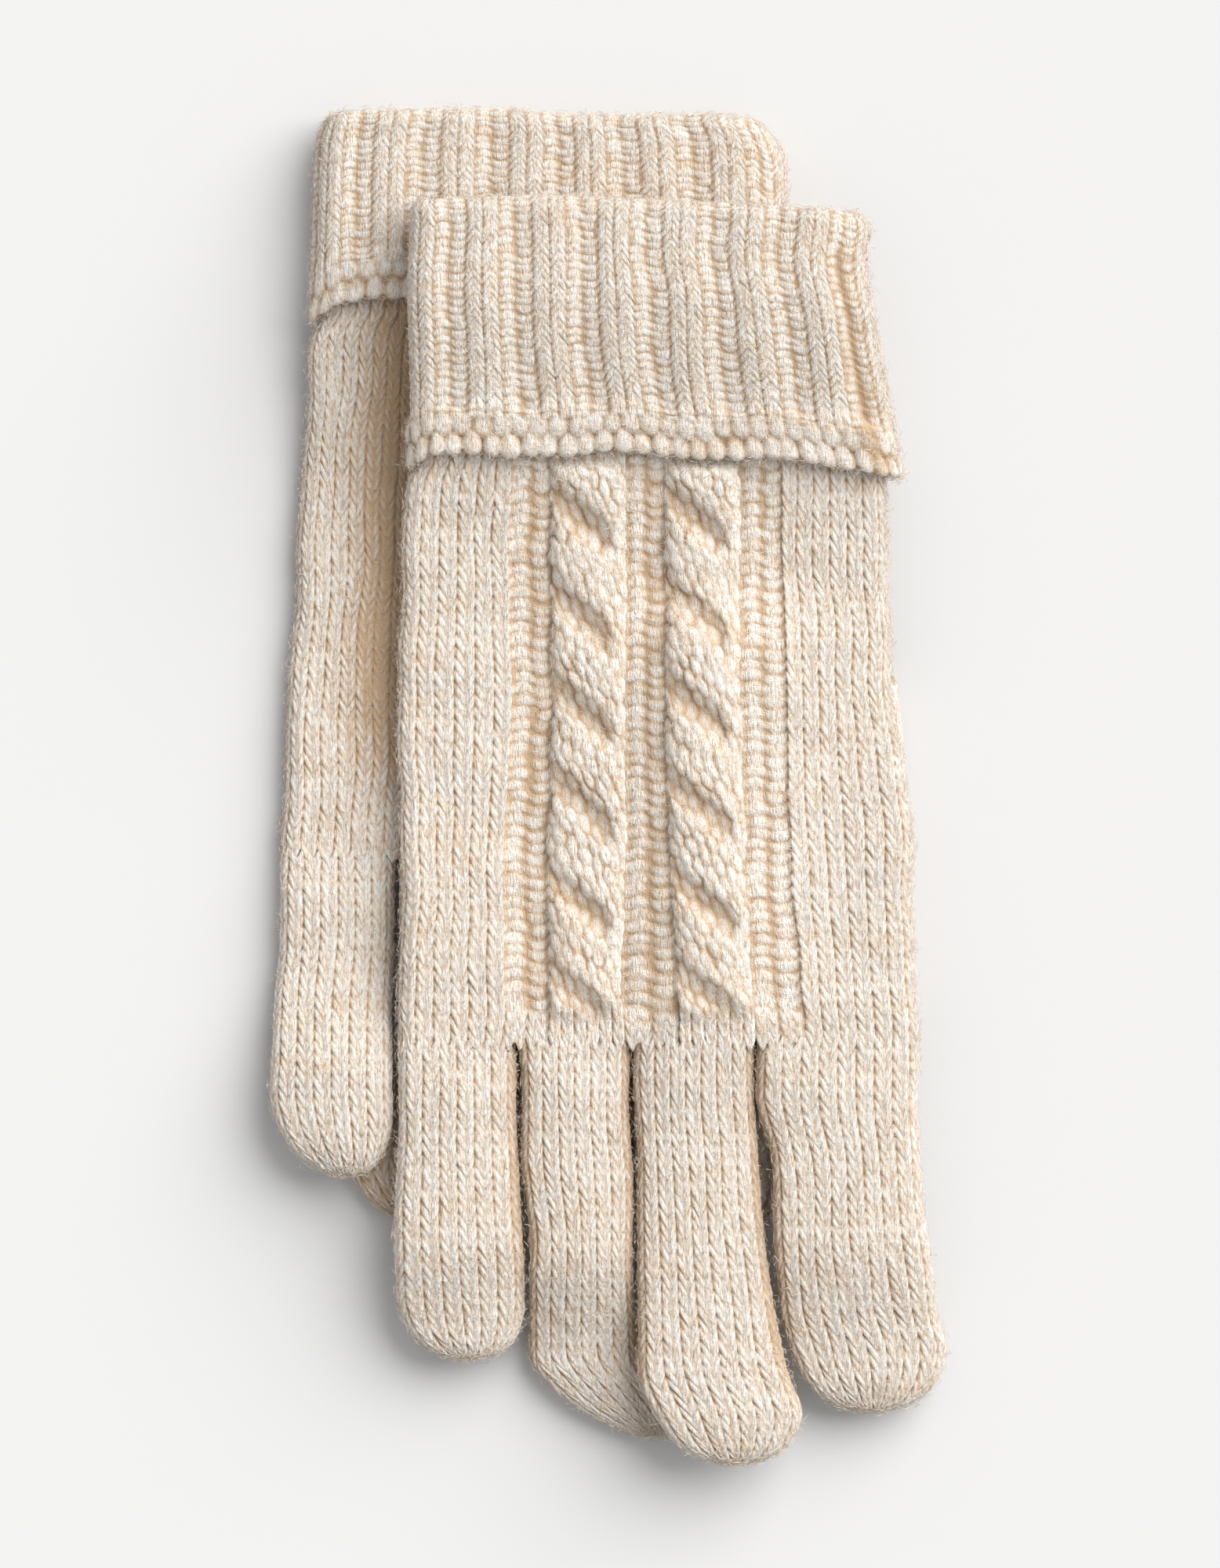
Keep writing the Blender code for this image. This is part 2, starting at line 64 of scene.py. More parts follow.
log = logging.getLogger("gloves")

Array = np.ndarray
Surface = Callable[[Array, Array], Array]

MM = 0.001
MIDDLE = np.array((-0.05, -0.2, 0.0))  # the middle of the pair's outline on the tables' axes

# Cloth and forms, as in the solids
WALL = 2.6
HAND_HALF = 3.0
FINGER_HALF = 3.5
CROWN = 0.8
CUFF_HALF = 6.5
SLIT = 0.8
HEM_RADIUS = 0.5 * (CUFF_HALF - HAND_HALF - SLIT)
MOUTH = HAND_HALF - WALL
PURL_DEPTH = 0.7
CABLE_RISE = 2.4
CABLE_TOP = 58.0
CABLE_END = -45.5
CABLE_PITCH = 17.9
CABLE_FIRST = 54.6
CABLE_LEAN = 0.70
CABLE_FADE = 3.0
CABLE_SINK = 5.0
GROOVE_DEEP, GROOVE_SHARP = 0.78, 8.0
# Painted shade on the purl strips and in the cables' grooves, and painted shadow on each cable's left
# flank.
STRIP_PAINTED_SHADE, GROOVE_PAINTED_SHADE, FLANK_PAINTED_SHADOW = 0.06, 0.36, 0.24
STRIPS_FROM, STRIPS_TO = 7.0, 25.0
TIP_WIDTH, TIP_THICKNESS = 0.72, 0.75
FILL_LENGTH = 12.0
THIN_GAP = 0.3
TWICE_ROUND = 1.999999  # just short of the place where a section closes


class Edges(NamedTuple):
    """Left and right outline of a piece at one place along it."""

    y: float
    left: float
    right: float


class Height(NamedTuple):
    """Height of the surface that a piece lies on, at one place."""

    at: float
    z: float


class Line(NamedTuple):
    """A point of a fold's or a hem's line."""

    x: float
    y: float


class Cables(NamedTuple):
    """Middles and half width of the two cables, and the widths of the outer purl strips."""

    y: float
    first: float
    second: float
    half_width: float
    purl_left: float
    purl_right: float


@dataclass(frozen=True)
class CuffForm:
    """Outline of a turned-up cuff: its sides, its fold, its hem and where the hand joins it."""

    edges: Sequence[Edges]
    fold: Sequence[Line]
    hem: Sequence[Line]
    join: float


@dataclass(frozen=True)
class FingerForm:
    """Outline of a finger and how its tip bends down.

    Attributes:
        name: which finger it is.
        seam: where it starts, along the glove.
        start: where its tip starts to close.
        tip: where it ends.
        edges: its outline.
        half: half its thickness.
        end_half: half its thickness towards the tip.
        crown: how far its top bulges.
        fall_from: where it starts to bend down.
        fall_to: where it has bent down.
        fall: by how much.
    """

    name: str
    seam: float
    start: float
    tip: float
    edges: Sequence[Edges]
    half: float = FINGER_HALF
    end_half: float = FINGER_HALF
    crown: float = CROWN
    fall_from: float = 0.0
    fall_to: float = -1.0
    fall: float = 0.0


def rows(kind: type, *values: tuple[float, ...]) -> tuple:
    """A table's rows, each of them made of one tuple of numbers."""
    return tuple(kind(*row) for row in values)


UPPER_CUFF = CuffForm(
    edges=rows(Edges, (108.0, -38.2, 49.4), (99.0, -38.1, 48.6), (90.0, -38.0, 50.4),
        (81.0, -37.9, 51.4), (72.0, -37.9, 52.9), (64.0, -37.9, 54.6), (58.0, -37.9, 56.1)),
    fold=rows(Line, (-38.2, 109.0), (-13.0, 109.9), (17.0, 108.8), (42.0, 107.3), (49.0, 106.0)),
    hem=rows(Line, (-37.5, 59.0), (-31.0, 61.5), (-13.0, 60.9), (2.0, 61.9), (17.0, 60.4),
        (32.0, 60.6), (43.0, 58.9), (55.0, 57.2)),
    join=66.5,
)
LOWER_CUFF = CuffForm(
    edges=rows(Edges, (124.0, -54.3, 31.4), (119.0, -55.4, 33.2), (110.0, -55.7, 33.5),
        (97.0, -55.7, 33.6), (90.0, -56.0, 33.8)),
    fold=rows(Line, (-54.0, 125.6), (-43.0, 126.6), (-22.0, 126.8), (-5.6, 125.7), (17.0, 125.9),
        (26.6, 124.9), (31.0, 122.5)),
    hem=rows(Line, (-55.0, 86.6), (-49.4, 89.9), (-38.0, 91.0), (10.0, 91.2), (33.0, 89.5)),
    join=97.0,
)

UPPER_SEAM = -47.8
LOWER_SEAM = -12.5
UPPER_HAND = rows(Edges, (66.5, -34.3, 50.6), (60.5, -35.2, 51.6), (57.0, -37.3, 52.1),
    (50.4, -38.3, 52.2), (43.4, -38.9, 52.2), (30.0, -39.0, 53.3), (14.7, -39.1, 53.8),
    (5.0, -39.0, 55.2), (-9.0, -39.0, 56.8), (-25.0, -38.7, 57.4), (-40.0, -38.9, 58.1),
    (-47.8, -39.1, 58.3))
LOWER_HAND = rows(Edges, (97.0, -52.3, 30.0), (89.0, -52.9, 30.6), (85.0, -55.1, 31.8),
    (82.5, -55.6, 32.6), (73.8, -56.3, 33.0), (62.0, -57.3, 33.2), (44.0, -58.2, 33.6),
    (23.5, -59.4, 34.4), (8.8, -60.3, 35.0), (-12.5, -61.4, 35.4))
BACK_CABLES = rows(Cables, (60.0, -3.5, 17.9, 7.1, 7.2, 7.4), (15.0, -3.5, 18.2, 7.1, 7.5, 7.9),
    (-20.0, -3.8, 19.2, 7.2, 8.2, 8.2), (-47.8, -3.9, 20.6, 7.2, 8.6, 9.4))

LOWER_BED = rows(Height, (130.0, 3.5), (85.0, 3.5), (70.0, 1.75), (55.0, 0.0), (-100.0, 0.0))
UPPER_BED = rows(Height, (112.0, 16.8), (92.0, 16.8), (84.0, 15.6), (74.0, 13.2), (64.0, 11.3),
    (56.0, 10.2), (46.0, 8.4), (36.0, 7.2), (26.0, 6.5), (10.0, 6.4), (-8.0, 6.7), (-14.0, 7.4),
    (-22.0, 8.2), (-48.0, 8.4), (-130.0, 8.4))
THUMB_RIDE = rows(Height, (-30.0, 3.0), (-16.0, 4.5), (0.0, 8.0), (8.0, 10.4), (13.0, 11.7),
    (22.0, 12.0), (30.0, 11.7), (37.0, 10.6), (46.0, 9.5), (58.0, 9.0))
RIDE_SOFTNESS = 1.5
RIDE_FROM, RIDE_FULL, RIDE_FADES, RIDE_ENDS = 40.0, 24.0, -40.0, -66.0
OVERHANG_FROM, OVERHANG_TO, OVERHANG_DROOP = 30.0, 56.0, 1.6
OVERHANG_BELOW, OVERHANG_ABOVE = 40.0, 62.0
LITTLE_LIFT_FROM, LITTLE_LIFT_TO = -30.0, -57.0
LITTLE_LIFT_LEFT, LITTLE_LIFT_RIGHT = 4.7, 7.0
LITTLE_LEFT, LITTLE_RIGHT = -62.0, -40.6

UPPER_FINGERS = (
    FingerForm("little_finger", UPPER_SEAM, -97.0, -107.9,
        rows(Edges, (-47.8, -39.3, -17.4), (-58.0, -39.1, -17.2), (-71.0, -39.4, -16.6),
            (-84.0, -40.1, -16.1), (-97.0, -39.4, -15.7), (-108.0, -37.2, -14.9)),
        fall_from=-84.0, fall_to=-104.0, fall=4.6),
    FingerForm("ring_finger", UPPER_SEAM, -107.0, -122.6,
        rows(Edges, (-47.8, -16.7, 4.1), (-58.0, -15.9, 3.8), (-71.0, -15.7, 4.4),
            (-84.0, -14.9, 4.6), (-98.7, -14.8, 5.3), (-107.0, -14.8, 5.6), (-114.0, -10.6, 10.0),
            (-122.6, -1.6, 18.0)),
        end_half=3.1, fall_from=-87.0, fall_to=-110.0, fall=8.2),
    FingerForm("middle_finger", UPPER_SEAM, -113.0, -127.2,
        rows(Edges, (-47.8, 4.8, 27.4), (-58.0, 5.1, 26.9), (-71.0, 5.6, 28.2), (-84.0, 5.7, 29.3),
            (-98.7, 5.7, 31.1), (-109.3, 5.6, 33.2), (-119.0, 8.2, 37.4), (-127.2, 9.6, 38.4)),
        fall_from=-100.0, fall_to=-126.0, fall=0.1),
    FingerForm("index_finger", UPPER_SEAM, -104.0, -117.5,
        rows(Edges, (-47.8, 28.1, 58.3), (-58.0, 27.9, 58.2), (-71.0, 30.7, 58.4),
            (-84.0, 31.1, 59.9), (-98.7, 32.2, 61.7), (-106.0, 34.1, 63.3), (-117.5, 35.6, 64.0)),
        fall_from=-84.0, fall_to=-110.0, fall=5.2),
)
LOWER_FINGERS = (
    FingerForm("little_finger", LOWER_SEAM, -59.0, -73.4,
        rows(Edges, (-12.5, -61.4, -39.9), (-29.0, -61.5, -40.3), (-44.0, -62.7, -40.7),
            (-55.9, -63.2, -40.6), (-63.0, -62.4, -40.2), (-73.4, -59.2, -39.4)),
        end_half=3.2),
    FingerForm("ring_finger", LOWER_SEAM, -70.0, -84.2,
        rows(Edges, (-12.5, -39.3, -18.2), (-40.0, -39.0, -18.6), (-50.0, -40.0, -19.6),
            (-58.0, -43.2, -22.6), (-66.0, -47.2, -26.4), (-72.0, -48.6, -27.8),
            (-77.0, -47.0, -26.4), (-84.2, -42.0, -22.0)),
        end_half=2.7),
    FingerForm("middle_finger", LOWER_SEAM, -78.0, -91.8,
        rows(Edges, (-12.5, -17.6, 4.8), (-50.0, -17.0, 5.4), (-91.8, -16.0, 7.0)),
        half=HAND_HALF, end_half=HAND_HALF, crown=0.0),
    FingerForm("index_finger", LOWER_SEAM, -68.0, -82.0,
        rows(Edges, (-12.5, 5.4, 35.4), (-50.0, 8.0, 37.0), (-82.0, 11.5, 39.5)),
        half=HAND_HALF, end_half=HAND_HALF, crown=0.0),
)
UPPER_THUMB = FingerForm("thumb", 19.1, -38.0, -48.5,
    rows(Edges, (19.1, 37.6, 54.4), (5.0, 37.0, 55.4), (-48.5, 37.4, 55.2)),
    crown=0.0)
LOWER_THUMB = FingerForm("thumb", 20.6, -29.0, -39.7,
    rows(Edges, (20.6, 12.6, 29.2), (5.0, 11.4, 30.6), (-39.7, 11.4, 30.4)),
    half=2.5, end_half=2.5, crown=0.0)
UPPER_THUMB_BED, LOWER_THUMB_BED = 1.9, 6.3


# ---------------------------------------------------------------- curves and beds


def ease(share: Array | float) -> Array:
    """0 to 1 with soft ends: three squares less two cubes of the share.

    Args:
        share: how far along, clipped to 0 to 1.

    Returns:
        The eased share.
    """
    share = np.clip(share, 0.0, 1.0)
    return share * share * (3.0 - 2.0 * share)


def curve(keys: Sequence[float], values: Sequence[float], at: Array | float) -> Array:
    """A cubic through a table's points that never swings past them.

    Where the steps on both sides of a point lead the same way its slope is their harmonic mean, and
    otherwise it is level there.

    Args:
        keys: where the points are.
        values: the points' values.
        at: where the curve is read.

    Returns:
        The curve's values there.
    """
    order = np.argsort(keys)
    x, y = np.asarray(keys, float)[order], np.asarray(values, float)[order]
    steps = np.diff(y) / np.diff(x)
    before, after = steps[:-1], steps[1:]
    same_way = before * after > 0.0
    total = np.where(same_way, before + after, 1.0)
    means = np.where(same_way, 2.0 * before * after / total, 0.0)
    slopes = np.concatenate([steps[:1], means, steps[-1:]])
    at = np.clip(np.asarray(at, float), x[0], x[-1])
    i = np.clip(np.searchsorted(x, at) - 1, 0, len(x) - 2)
    step = x[i + 1] - x[i]
    t = (at - x[i]) / step
    return (
        (1 + 2 * t) * (1 - t) ** 2 * y[i]
        + t * (1 - t) ** 2 * step * slopes[i]
        + t * t * (3 - 2 * t) * y[i + 1]
        - t * t * (1 - t) * step * slopes[i + 1]
    )


def column(table: Sequence[NamedTuple], key: str, value: str, at: Array | float) -> Array:
    """One named column of a table, read at places along another.

    Args:
        table: the rows.
        key: the column that says where a row is.
        value: the column that is read.
        at: where it is read.

    Returns:
        The values there.
    """
    return curve([getattr(row, key) for row in table], [getattr(row, value) for row in table], at)


def lower_bed(x: Array, y: Array) -> Array:
    """Height of the underside of the lower glove's hand and fingers."""
    return column(LOWER_BED, "at", "z", y) + 0.0 * x


def lower_little_bed(x: Array, y: Array) -> Array:
    """Height of the underside of the lower little finger, whose tip rises onto the ring finger's.

    Args:
        x: places across.
        y: places along.

    Returns:
        Heights over the table.
    """
    across = (x - LITTLE_LEFT) / (LITTLE_RIGHT - LITTLE_LEFT)
    lift = LITTLE_LIFT_LEFT + (LITTLE_LIFT_RIGHT - LITTLE_LIFT_LEFT) * np.clip(across, 0.0, 1.0)
    return lift * ease((LITTLE_LIFT_FROM - y) / (LITTLE_LIFT_FROM - LITTLE_LIFT_TO))


def upper_bed(x: Array, y: Array) -> Array:
    """Height of the underside of the upper glove's hand and fingers.

    A table along the glove, raised by a soft maximum over the two thumbs, less a droop where the
    glove's edge hangs past the lower one.

    Args:
        x: places across.
        y: places along.

    Returns:
        Heights over the table.
    """
    bed = column(UPPER_BED, "at", "z", y) + 0.0 * x
    over = column(THUMB_RIDE, "at", "z", x) - bed
    along = ease((RIDE_FROM - y) / (RIDE_FROM - RIDE_FULL))
    along = along * ease((y - RIDE_ENDS) / (RIDE_FADES - RIDE_ENDS))
    ride = 0.5 * (over + np.sqrt(over**2 + RIDE_SOFTNESS**2)) * along
    droop = OVERHANG_DROOP * ease((x - OVERHANG_FROM) / (OVERHANG_TO - OVERHANG_FROM))
    return bed + ride - droop * ease((y - OVERHANG_BELOW) / (OVERHANG_ABOVE - OVERHANG_BELOW))


def flattened(a: Array, left: Array, right: Array, half: Array) -> tuple[Array, Array]:
    """Across and height of the points of a flattened tube's section.

    The section is straight along the top and the bottom and half round at both sides. a runs from 0
    at the left side over the top to 1 at the right side and on to 2 along the bottom, by length.

    Args:
        a: places round the section.
        left: the section's left outline.
        right: its right outline.
        half: half its thickness.

    Returns:
        Places across, and heights over the section's middle.
    """
    flat = np.maximum(right - left - 2.0 * half, 0.0)
    bend = 0.5 * np.pi * half
    run = np.mod(a, 1.0) * (flat + 2.0 * bend)
    first = np.clip(run / bend, 0.0, 1.0) * 0.5 * np.pi
    last = np.clip((run - bend - flat) / bend, 0.0, 1.0) * 0.5 * np.pi
    along = half * (1.0 - np.cos(first)) + np.clip(run - bend, 0.0, flat) + half * np.sin(last)
    height = half * np.sin(first) * np.cos(last)
    top = np.mod(a, 2.0) < 1.0
    return np.where(top, left + along, right - along), np.where(top, height, -height)


class Waver:
    """Slow, small waves over a piece, so that no line of hand knitting is ruler straight."""

    def __init__(self, seed: int, waves: int = 7, shortest: float = 11.0, longest: float = 46.0) -> None:
        """Chooses the waves.

        Args:
            seed: which set of waves.
            waves: how many waves are added up.
            shortest: least wave length.
            longest: greatest wave length.
        """
        rng = np.random.default_rng(seed)
        length = rng.uniform(shortest, longest, waves)
        turn = rng.uniform(0.0, 2.0 * np.pi, waves)
        self.kx = 2.0 * np.pi * np.cos(turn) / length
        self.ky = 2.0 * np.pi * np.sin(turn) / length
        self.phase = rng.uniform(0.0, 2.0 * np.pi, (3, waves))
        self.share = 1.0 / np.sqrt(waves)

    def __call__(self, x: Array, y: Array, axis: int) -> Array:
        """The waves' sum at points, about -1 to 1.

        Args:
            x: places across.
            y: places along.
            axis: which of the three sums.

        Returns:
            The sums.
        """
        total = np.zeros(np.broadcast(x, y).shape)
        for kx, ky, phase in zip(self.kx, self.ky, self.phase[axis]):
            total += np.sin(kx * x + ky * y + phase)
        return total * self.share


# ---------------------------------------------------------------- stitches


class Stitch(Enum):
    """What a wale shows on the outside."""

    KNIT = 0
    PURL = 1
    CABLE = 2


@dataclass(frozen=True)
class Wales:
    """A run of wales of one kind round a tube.

    Attributes:
        first: the first wale.
        last: one past the last wale.
        stitch: what they show.
        places: where each wale's grid columns are, as shares of the wale.
    """

    first: int
    last: int
    stitch: Stitch
    places: tuple[float, ...]


class Leg(NamedTuple):
    """One leg of a knit stitch: across and wide in wales, long in courses."""

    middle: float
    half_width: float
    half_length: float
    height: float


V_FOOT = 0.52  # where the two legs of a knit stitch meet, as a share of the wale
LEGS = (Leg(0.27, 0.312, 0.68, 0.95), Leg(0.755, 0.288, 0.74, 1.0))
SADDLE = 0.74  # height of the yarn where the legs meet
FIELD = (4, 97, 89)  # layers, lines and cells of a table of chance numbers
UNEVEN_PLACE, UNEVEN_SIZE, UNEVEN_HEIGHT = 0.06, 0.06, 0.08  # of drops, by one chance number
BUMP_REACH, BEAD_REACH, DROP_REACH = (0.50, 0.58), (0.62, 0.56), (0.62, 0.60)
FLOOR = 0.25  # height of the yarn between bumps or drops
CABLE_WALES = 6
CABLE_LINES = 1.28  # lines of drops to a wale
CABLE_DRIFT = 0.42  # lines by which they drift in a course
CABLE_DROP = 1.75  # courses to a drop
KNIT_FINE = (0.0, 0.06, 0.16, 0.28, 0.40, V_FOOT, 0.62, 0.73, 0.84, 0.94)
KNIT_SMALL = (0.0, 0.10, 0.24, 0.38, V_FOOT, 0.70, 0.88)
KNIT_COARSE = (0.0, 0.32, 0.72)
KNIT_HIDDEN = (0.0, 0.5)
PURL_FINE = tuple(k / 7 for k in range(7))
PURL_SMALL = tuple(k / 6 for k in range(6))
PURL_COARSE = (0.0, 0.5)
CABLE_FINE = tuple(k / 10 for k in range(10))
COURSE_PLACES = (0.0, 0.15, 0.38, 0.62, 0.85)
COURSE_MIDDLING = (0.0, 0.22, 0.5, 0.78)
COURSE_COARSE = (0.0, 0.35, 0.68)


@dataclass(frozen=True)
class Grid:
    """The columns and rows of a piece's grid.

    Attributes:
        w: wale coordinate of each column.
        u: place of each column in its wale.
        kind: the Stitch value of each column.
        lean: how many courses each column is shifted along, so that the grid's rows follow the yarn.
        r: course coordinate of each row.
    """

    w: Array
    u: Array
    kind: Array
    lean: Array
    r: Array


def chances(seed: int) -> Array:
    """Four layers of chance numbers from -2 to 2 for a field of stitches."""
    return np.clip(np.random.default_rng(seed).normal(0.0, 1.0, FIELD), -2.0, 2.0)


def toward_foot(u: Array) -> Array:
    """0 at a wale's two sides and 1 at the foot of its V."""
    return np.where(u < V_FOOT, u / V_FOOT, (1.0 - u) / (1.0 - V_FOOT))


def drops(a: Array, b: Array, reach: tuple[float, float], jitter: Array, stagger: float = 0.5) -> Array:
    """Height of a bed of plump drops, 0 between them and about 1 on their crests.

    Each drop is the root of 1 less the 2.1th powers of the distances from its middle, over its
    reach. Their middles lie in lines, every other line half a drop on, and each one is moved and
    sized a little by chance. Where drops overlap, the higher one shows.

    Args:
        a: places across the lines of drops, one line to a unit.
        b: places along the lines, one drop to a unit.
        reach: half a drop's size across and along.
        jitter: a table of chance numbers, four layers of them.
        stagger: by how much every other line is moved along.

    Returns:
        The heights.
    """
    _, lines, cells = jitter.shape
    best = np.zeros(a.shape)
    for step in (-1, 0, 1):
        line = np.floor(a).astype(int) + step
        shift = stagger * (line % 2)
        for hop in (-1, 0, 1):
            cell = np.floor(b - shift).astype(int) + hop
            chance = jitter[:, line % lines, cell % cells]
            size = 1.0 + UNEVEN_SIZE * chance[2]
            x = np.abs(a - line - 0.5 - UNEVEN_PLACE * chance[0]) / (reach[0] * size)
            y = np.abs(b - shift - cell - 0.5 - UNEVEN_PLACE * chance[1]) / (reach[1] * size)
            form = np.sqrt(np.clip(1.0 - x**2.1 - y**2.1, 0.0, 1.0))
            best = np.maximum(best, form * (1.0 + UNEVEN_HEIGHT * chance[3]))
    return best


@dataclass
class Knitting:
    """How stitches rise from a smooth piece.

    Attributes:
        knit_depth: from the crest of a knit leg to the pit beside it.
        purl_depth: from the crest of a purl bump to the gap below it.
        cable_depth: from the crest of a cable's stitch to the gap round it.
        knit_lean: courses by which the foot of a V lies past its ends.
        purl_lean: courses by which a row of purl bumps waves up and down from wale to wale.
        uneven: share by which one stitch differs from the next.
        seed: which set of uneven stitches.
        cable_firsts: the first wale of each cable.
        point_up: whether the Vs point towards the first course.
    """

    knit_depth: float = 0.78
    purl_depth: float = 0.85
    cable_depth: float = 0.88
    knit_lean: float = 1.25
    purl_lean: float = 0.25
    uneven: float = 0.07
    seed: int = 1
    cable_firsts: tuple[int, ...] = ()
    point_up: bool = False

    def grid(self, wales: Sequence[Wales], courses: float, places: Sequence[float]) -> Grid:
        """Columns and rows of a piece.

        Args:
            wales: the runs of wales round the tube.
            courses: how many courses it has.
            places: where the rows of each course are, as shares of it.

        Returns:
            The grid.
        """
        w, u, kind, lean = [], [], [], []
        sign = -1.0 if self.point_up else 1.0
        for run in wales:
            shares = np.array(run.places)
            for wale in range(run.first, run.last):
                w.append(wale + shares)
                u.append(shares)
                kind.append(np.full(len(shares), run.stitch.value))
                if run.stitch is Stitch.KNIT:
                    lean.append(sign * self.knit_lean * toward_foot(shares))
                elif run.stitch is Stitch.PURL:
                    wave = np.cos(np.pi * (wale - run.first + shares - 0.5))
                    lean.append(self.purl_lean * (1.0 - wave))
                else:
                    lean.append(np.zeros(len(shares)))
        r = (np.arange(int(courses))[:, None] + np.array(places)[None]).ravel()
        r = np.append(r[r < courses - 0.05], courses)
        return Grid(np.concatenate(w), np.concatenate(u), np.concatenate(kind), np.concatenate(lean), r)

    def legs(self, u: Array, middle: Array, odd: Array) -> Array:
        """Height of knit stitches: two plump legs, joined by a saddle where they meet.

        Each leg is the root of 1 less powers of the distances from its middle, across and along.

        Args:
            u: places across the stitch, 0 to 1.
            middle: places along it, from its middle, in courses.
            odd: four layers of chance numbers.

        Returns:
            The heights.
        """
        height = SADDLE - 7.0 * (u - V_FOOT) ** 2 - 0.5 * np.abs(middle) ** 2
        for side, leg in enumerate(LEGS):
            across = np.abs(u - leg.middle + 0.02 * odd[side]) / leg.half_width
            along = np.abs(middle) / (leg.half_length + 0.05 * odd[side + 2])
            form = np.sqrt(np.clip(1.0 - across**2.4 - along**2.2, 0.0, 1.0))
            height = np.maximum(height, form * (leg.height + self.uneven * odd[side]))
        return height

    def relief(self, grid: Grid) -> tuple[Array, Array, Array, Array]:
        """Height of the stitches below their crests.

        A knit stitch is a V of two legs. A purl stitch is one bump across its wale. A cable's stitches
        are long drops, in columns that drift across the cable as its strands do.

        Args:
            grid: the piece's columns and rows.

        Returns:
            Heights from 0 at a pit to 1 on a crest, the depths that they scale with, and the
            coordinates along and across the yarn.
        """
        kind = grid.kind[None, :]
        w, r = np.broadcast_arrays(grid.w[None, :], grid.r[:, None])
        wale, course = (np.floor(axis + 1e-6).astype(int) for axis in (w, r))
        jitter = chances(self.seed)
        odd = jitter[:, wale % FIELD[1], course % FIELD[2]]
        warp = Waver(self.seed + 300, 9, 1.6, 6.0)
        bend = warp(w, r, 0)

        place = np.clip(r - course, 0.0, 1.0) - 0.5 + 0.05 * bend
        height = np.where(kind == Stitch.KNIT.value, self.legs(grid.u[None, :], place, odd), 0.0)
        purls = np.flatnonzero(grid.kind == Stitch.PURL.value)
        if len(purls):
            bumps = drops(w[:, purls], r[:, purls] + 0.05 * bend[:, purls], BUMP_REACH, jitter, 0.0)
            height[:, purls] = FLOOR + (1.0 - FLOOR) * bumps
        along, across = w, r
        for first in self.cable_firsts:
            local = w - first
            inside = (kind == Stitch.CABLE.value) & (local > -0.01) & (local < CABLE_WALES)
            a = CABLE_LINES * local - CABLE_DRIFT * r + 0.16 * bend
            b = r / CABLE_DROP + 0.06 * local + 0.07 * warp(w, r, 1)
            height = np.where(inside, FLOOR + (1.0 - FLOOR) * drops(a, b, DROP_REACH, jitter), height)
            along, across = np.where(inside, b, along), np.where(inside, a, across)
        depths = np.array((self.knit_depth, self.purl_depth, self.cable_depth))
        return height, depths[kind] + 0.0 * r, along, across


# ---------------------------------------------------------------- finish


Colour = tuple[float, float, float]


class Shading:
    """A material in the making, with short ways to add nodes to it."""

    def __init__(self, name: str, **inputs: object) -> None:
        """Makes the material.

        Args:
            name: its name.
            inputs: its shader's inputs, with underlines for the blanks in their names.
        """
        self.material = bpy.data.materials.new(name)
        self.material.use_nodes = True
        self.nodes, self.links = self.material.node_tree.nodes, self.material.node_tree.links
        self.shader = self.nodes["Principled BSDF"]
        for key, value in inputs.items():
            self.shader.inputs[key.replace("_", " ")].default_value = value

    def add(self, kind: str, inputs: dict[str | int, object], **settings: object) -> bpy.types.Node:
        """Adds a node.

        Args:
            kind: the last part of its type's name.
            inputs: for each input a value, or the output that leads into it.
            settings: its settings.

        Returns:
            The node.
        """
        made = self.nodes.new("ShaderNode" + kind)
        for key, value in settings.items():
            setattr(made, key, value)
        for key, value in inputs.items():
            if isinstance(value, bpy.types.NodeSocket):
                self.links.new(value, made.inputs[key])
            else:
                made.inputs[key].default_value = value
        return made

    def noise(self, source: object, scale: float, detail: float, rough: float) -> object:
        """A noise over a source's coordinates."""
        values = {"Vector": source, "Scale": scale, "Detail": detail, "Roughness": rough}
        return self.add("TexNoise", values).outputs["Fac"]

    def moved(self, source: object, scale: Colour, place: float = 0.0, beside: float = 0.0,
              turn: float = 0.0) -> object:
        """Coordinates that are scaled, moved along two axes and turned round the third."""
        places = {"Location": (place, beside, 0.0), "Rotation": (0.0, 0.0, turn)}
        return self.add("Mapping", {"Vector": source, "Scale": scale, **places}).outputs["Vector"]

    def ramp(self, source: object, low: float, high: float, most: float = 1.0) -> object:
        """A value that rises softly from 0 to its most between two bounds."""
        values = {"Value": source, "From Min": low, "From Max": high, "To Max": most}
        return self.add("MapRange", values, interpolation_type="SMOOTHSTEP").outputs["Result"]

    def mix(self, share: object, one: object, two: object) -> object:
        """Two colours mixed by a share."""
        one, two = ((*colour, 1.0) if isinstance(colour, tuple) else colour for colour in (one, two))
        return self.add("Mix", {"Factor": share, 6: one, 7: two}, data_type="RGBA").outputs[2]

    def maths(self, operation: str, one: object, two: object) -> object:
        """One value reckoned with another."""
        return self.add("Math", {0: one, 1: two}, operation=operation).outputs[0]

    def times(self, source: object, factor: float) -> object:
        """A value times a factor."""
        return self.maths("MULTIPLY", source, factor)


class Blotch(NamedTuple):
    """Patches of another tint, from chance numbers between two bounds."""

    place: float
    tint: Colour
    low: float
    high: float
    most: float


BLOTCHES = (
    Blotch(3.0, (1.0, 0.93, 0.79), 0.52, 0.72, 0.75),
    Blotch(7.0, (1.0, 0.87, 0.79), 0.54, 0.74, 0.70),
    Blotch(11.0, (0.87, 0.86, 0.86), 0.55, 0.74, 0.60),
    Blotch(17.0, (1.0, 0.98, 0.93), 0.48, 0.66, 0.85),
    Blotch(23.0, (0.76, 0.52, 0.32), 0.66, 0.80, 0.55),
)


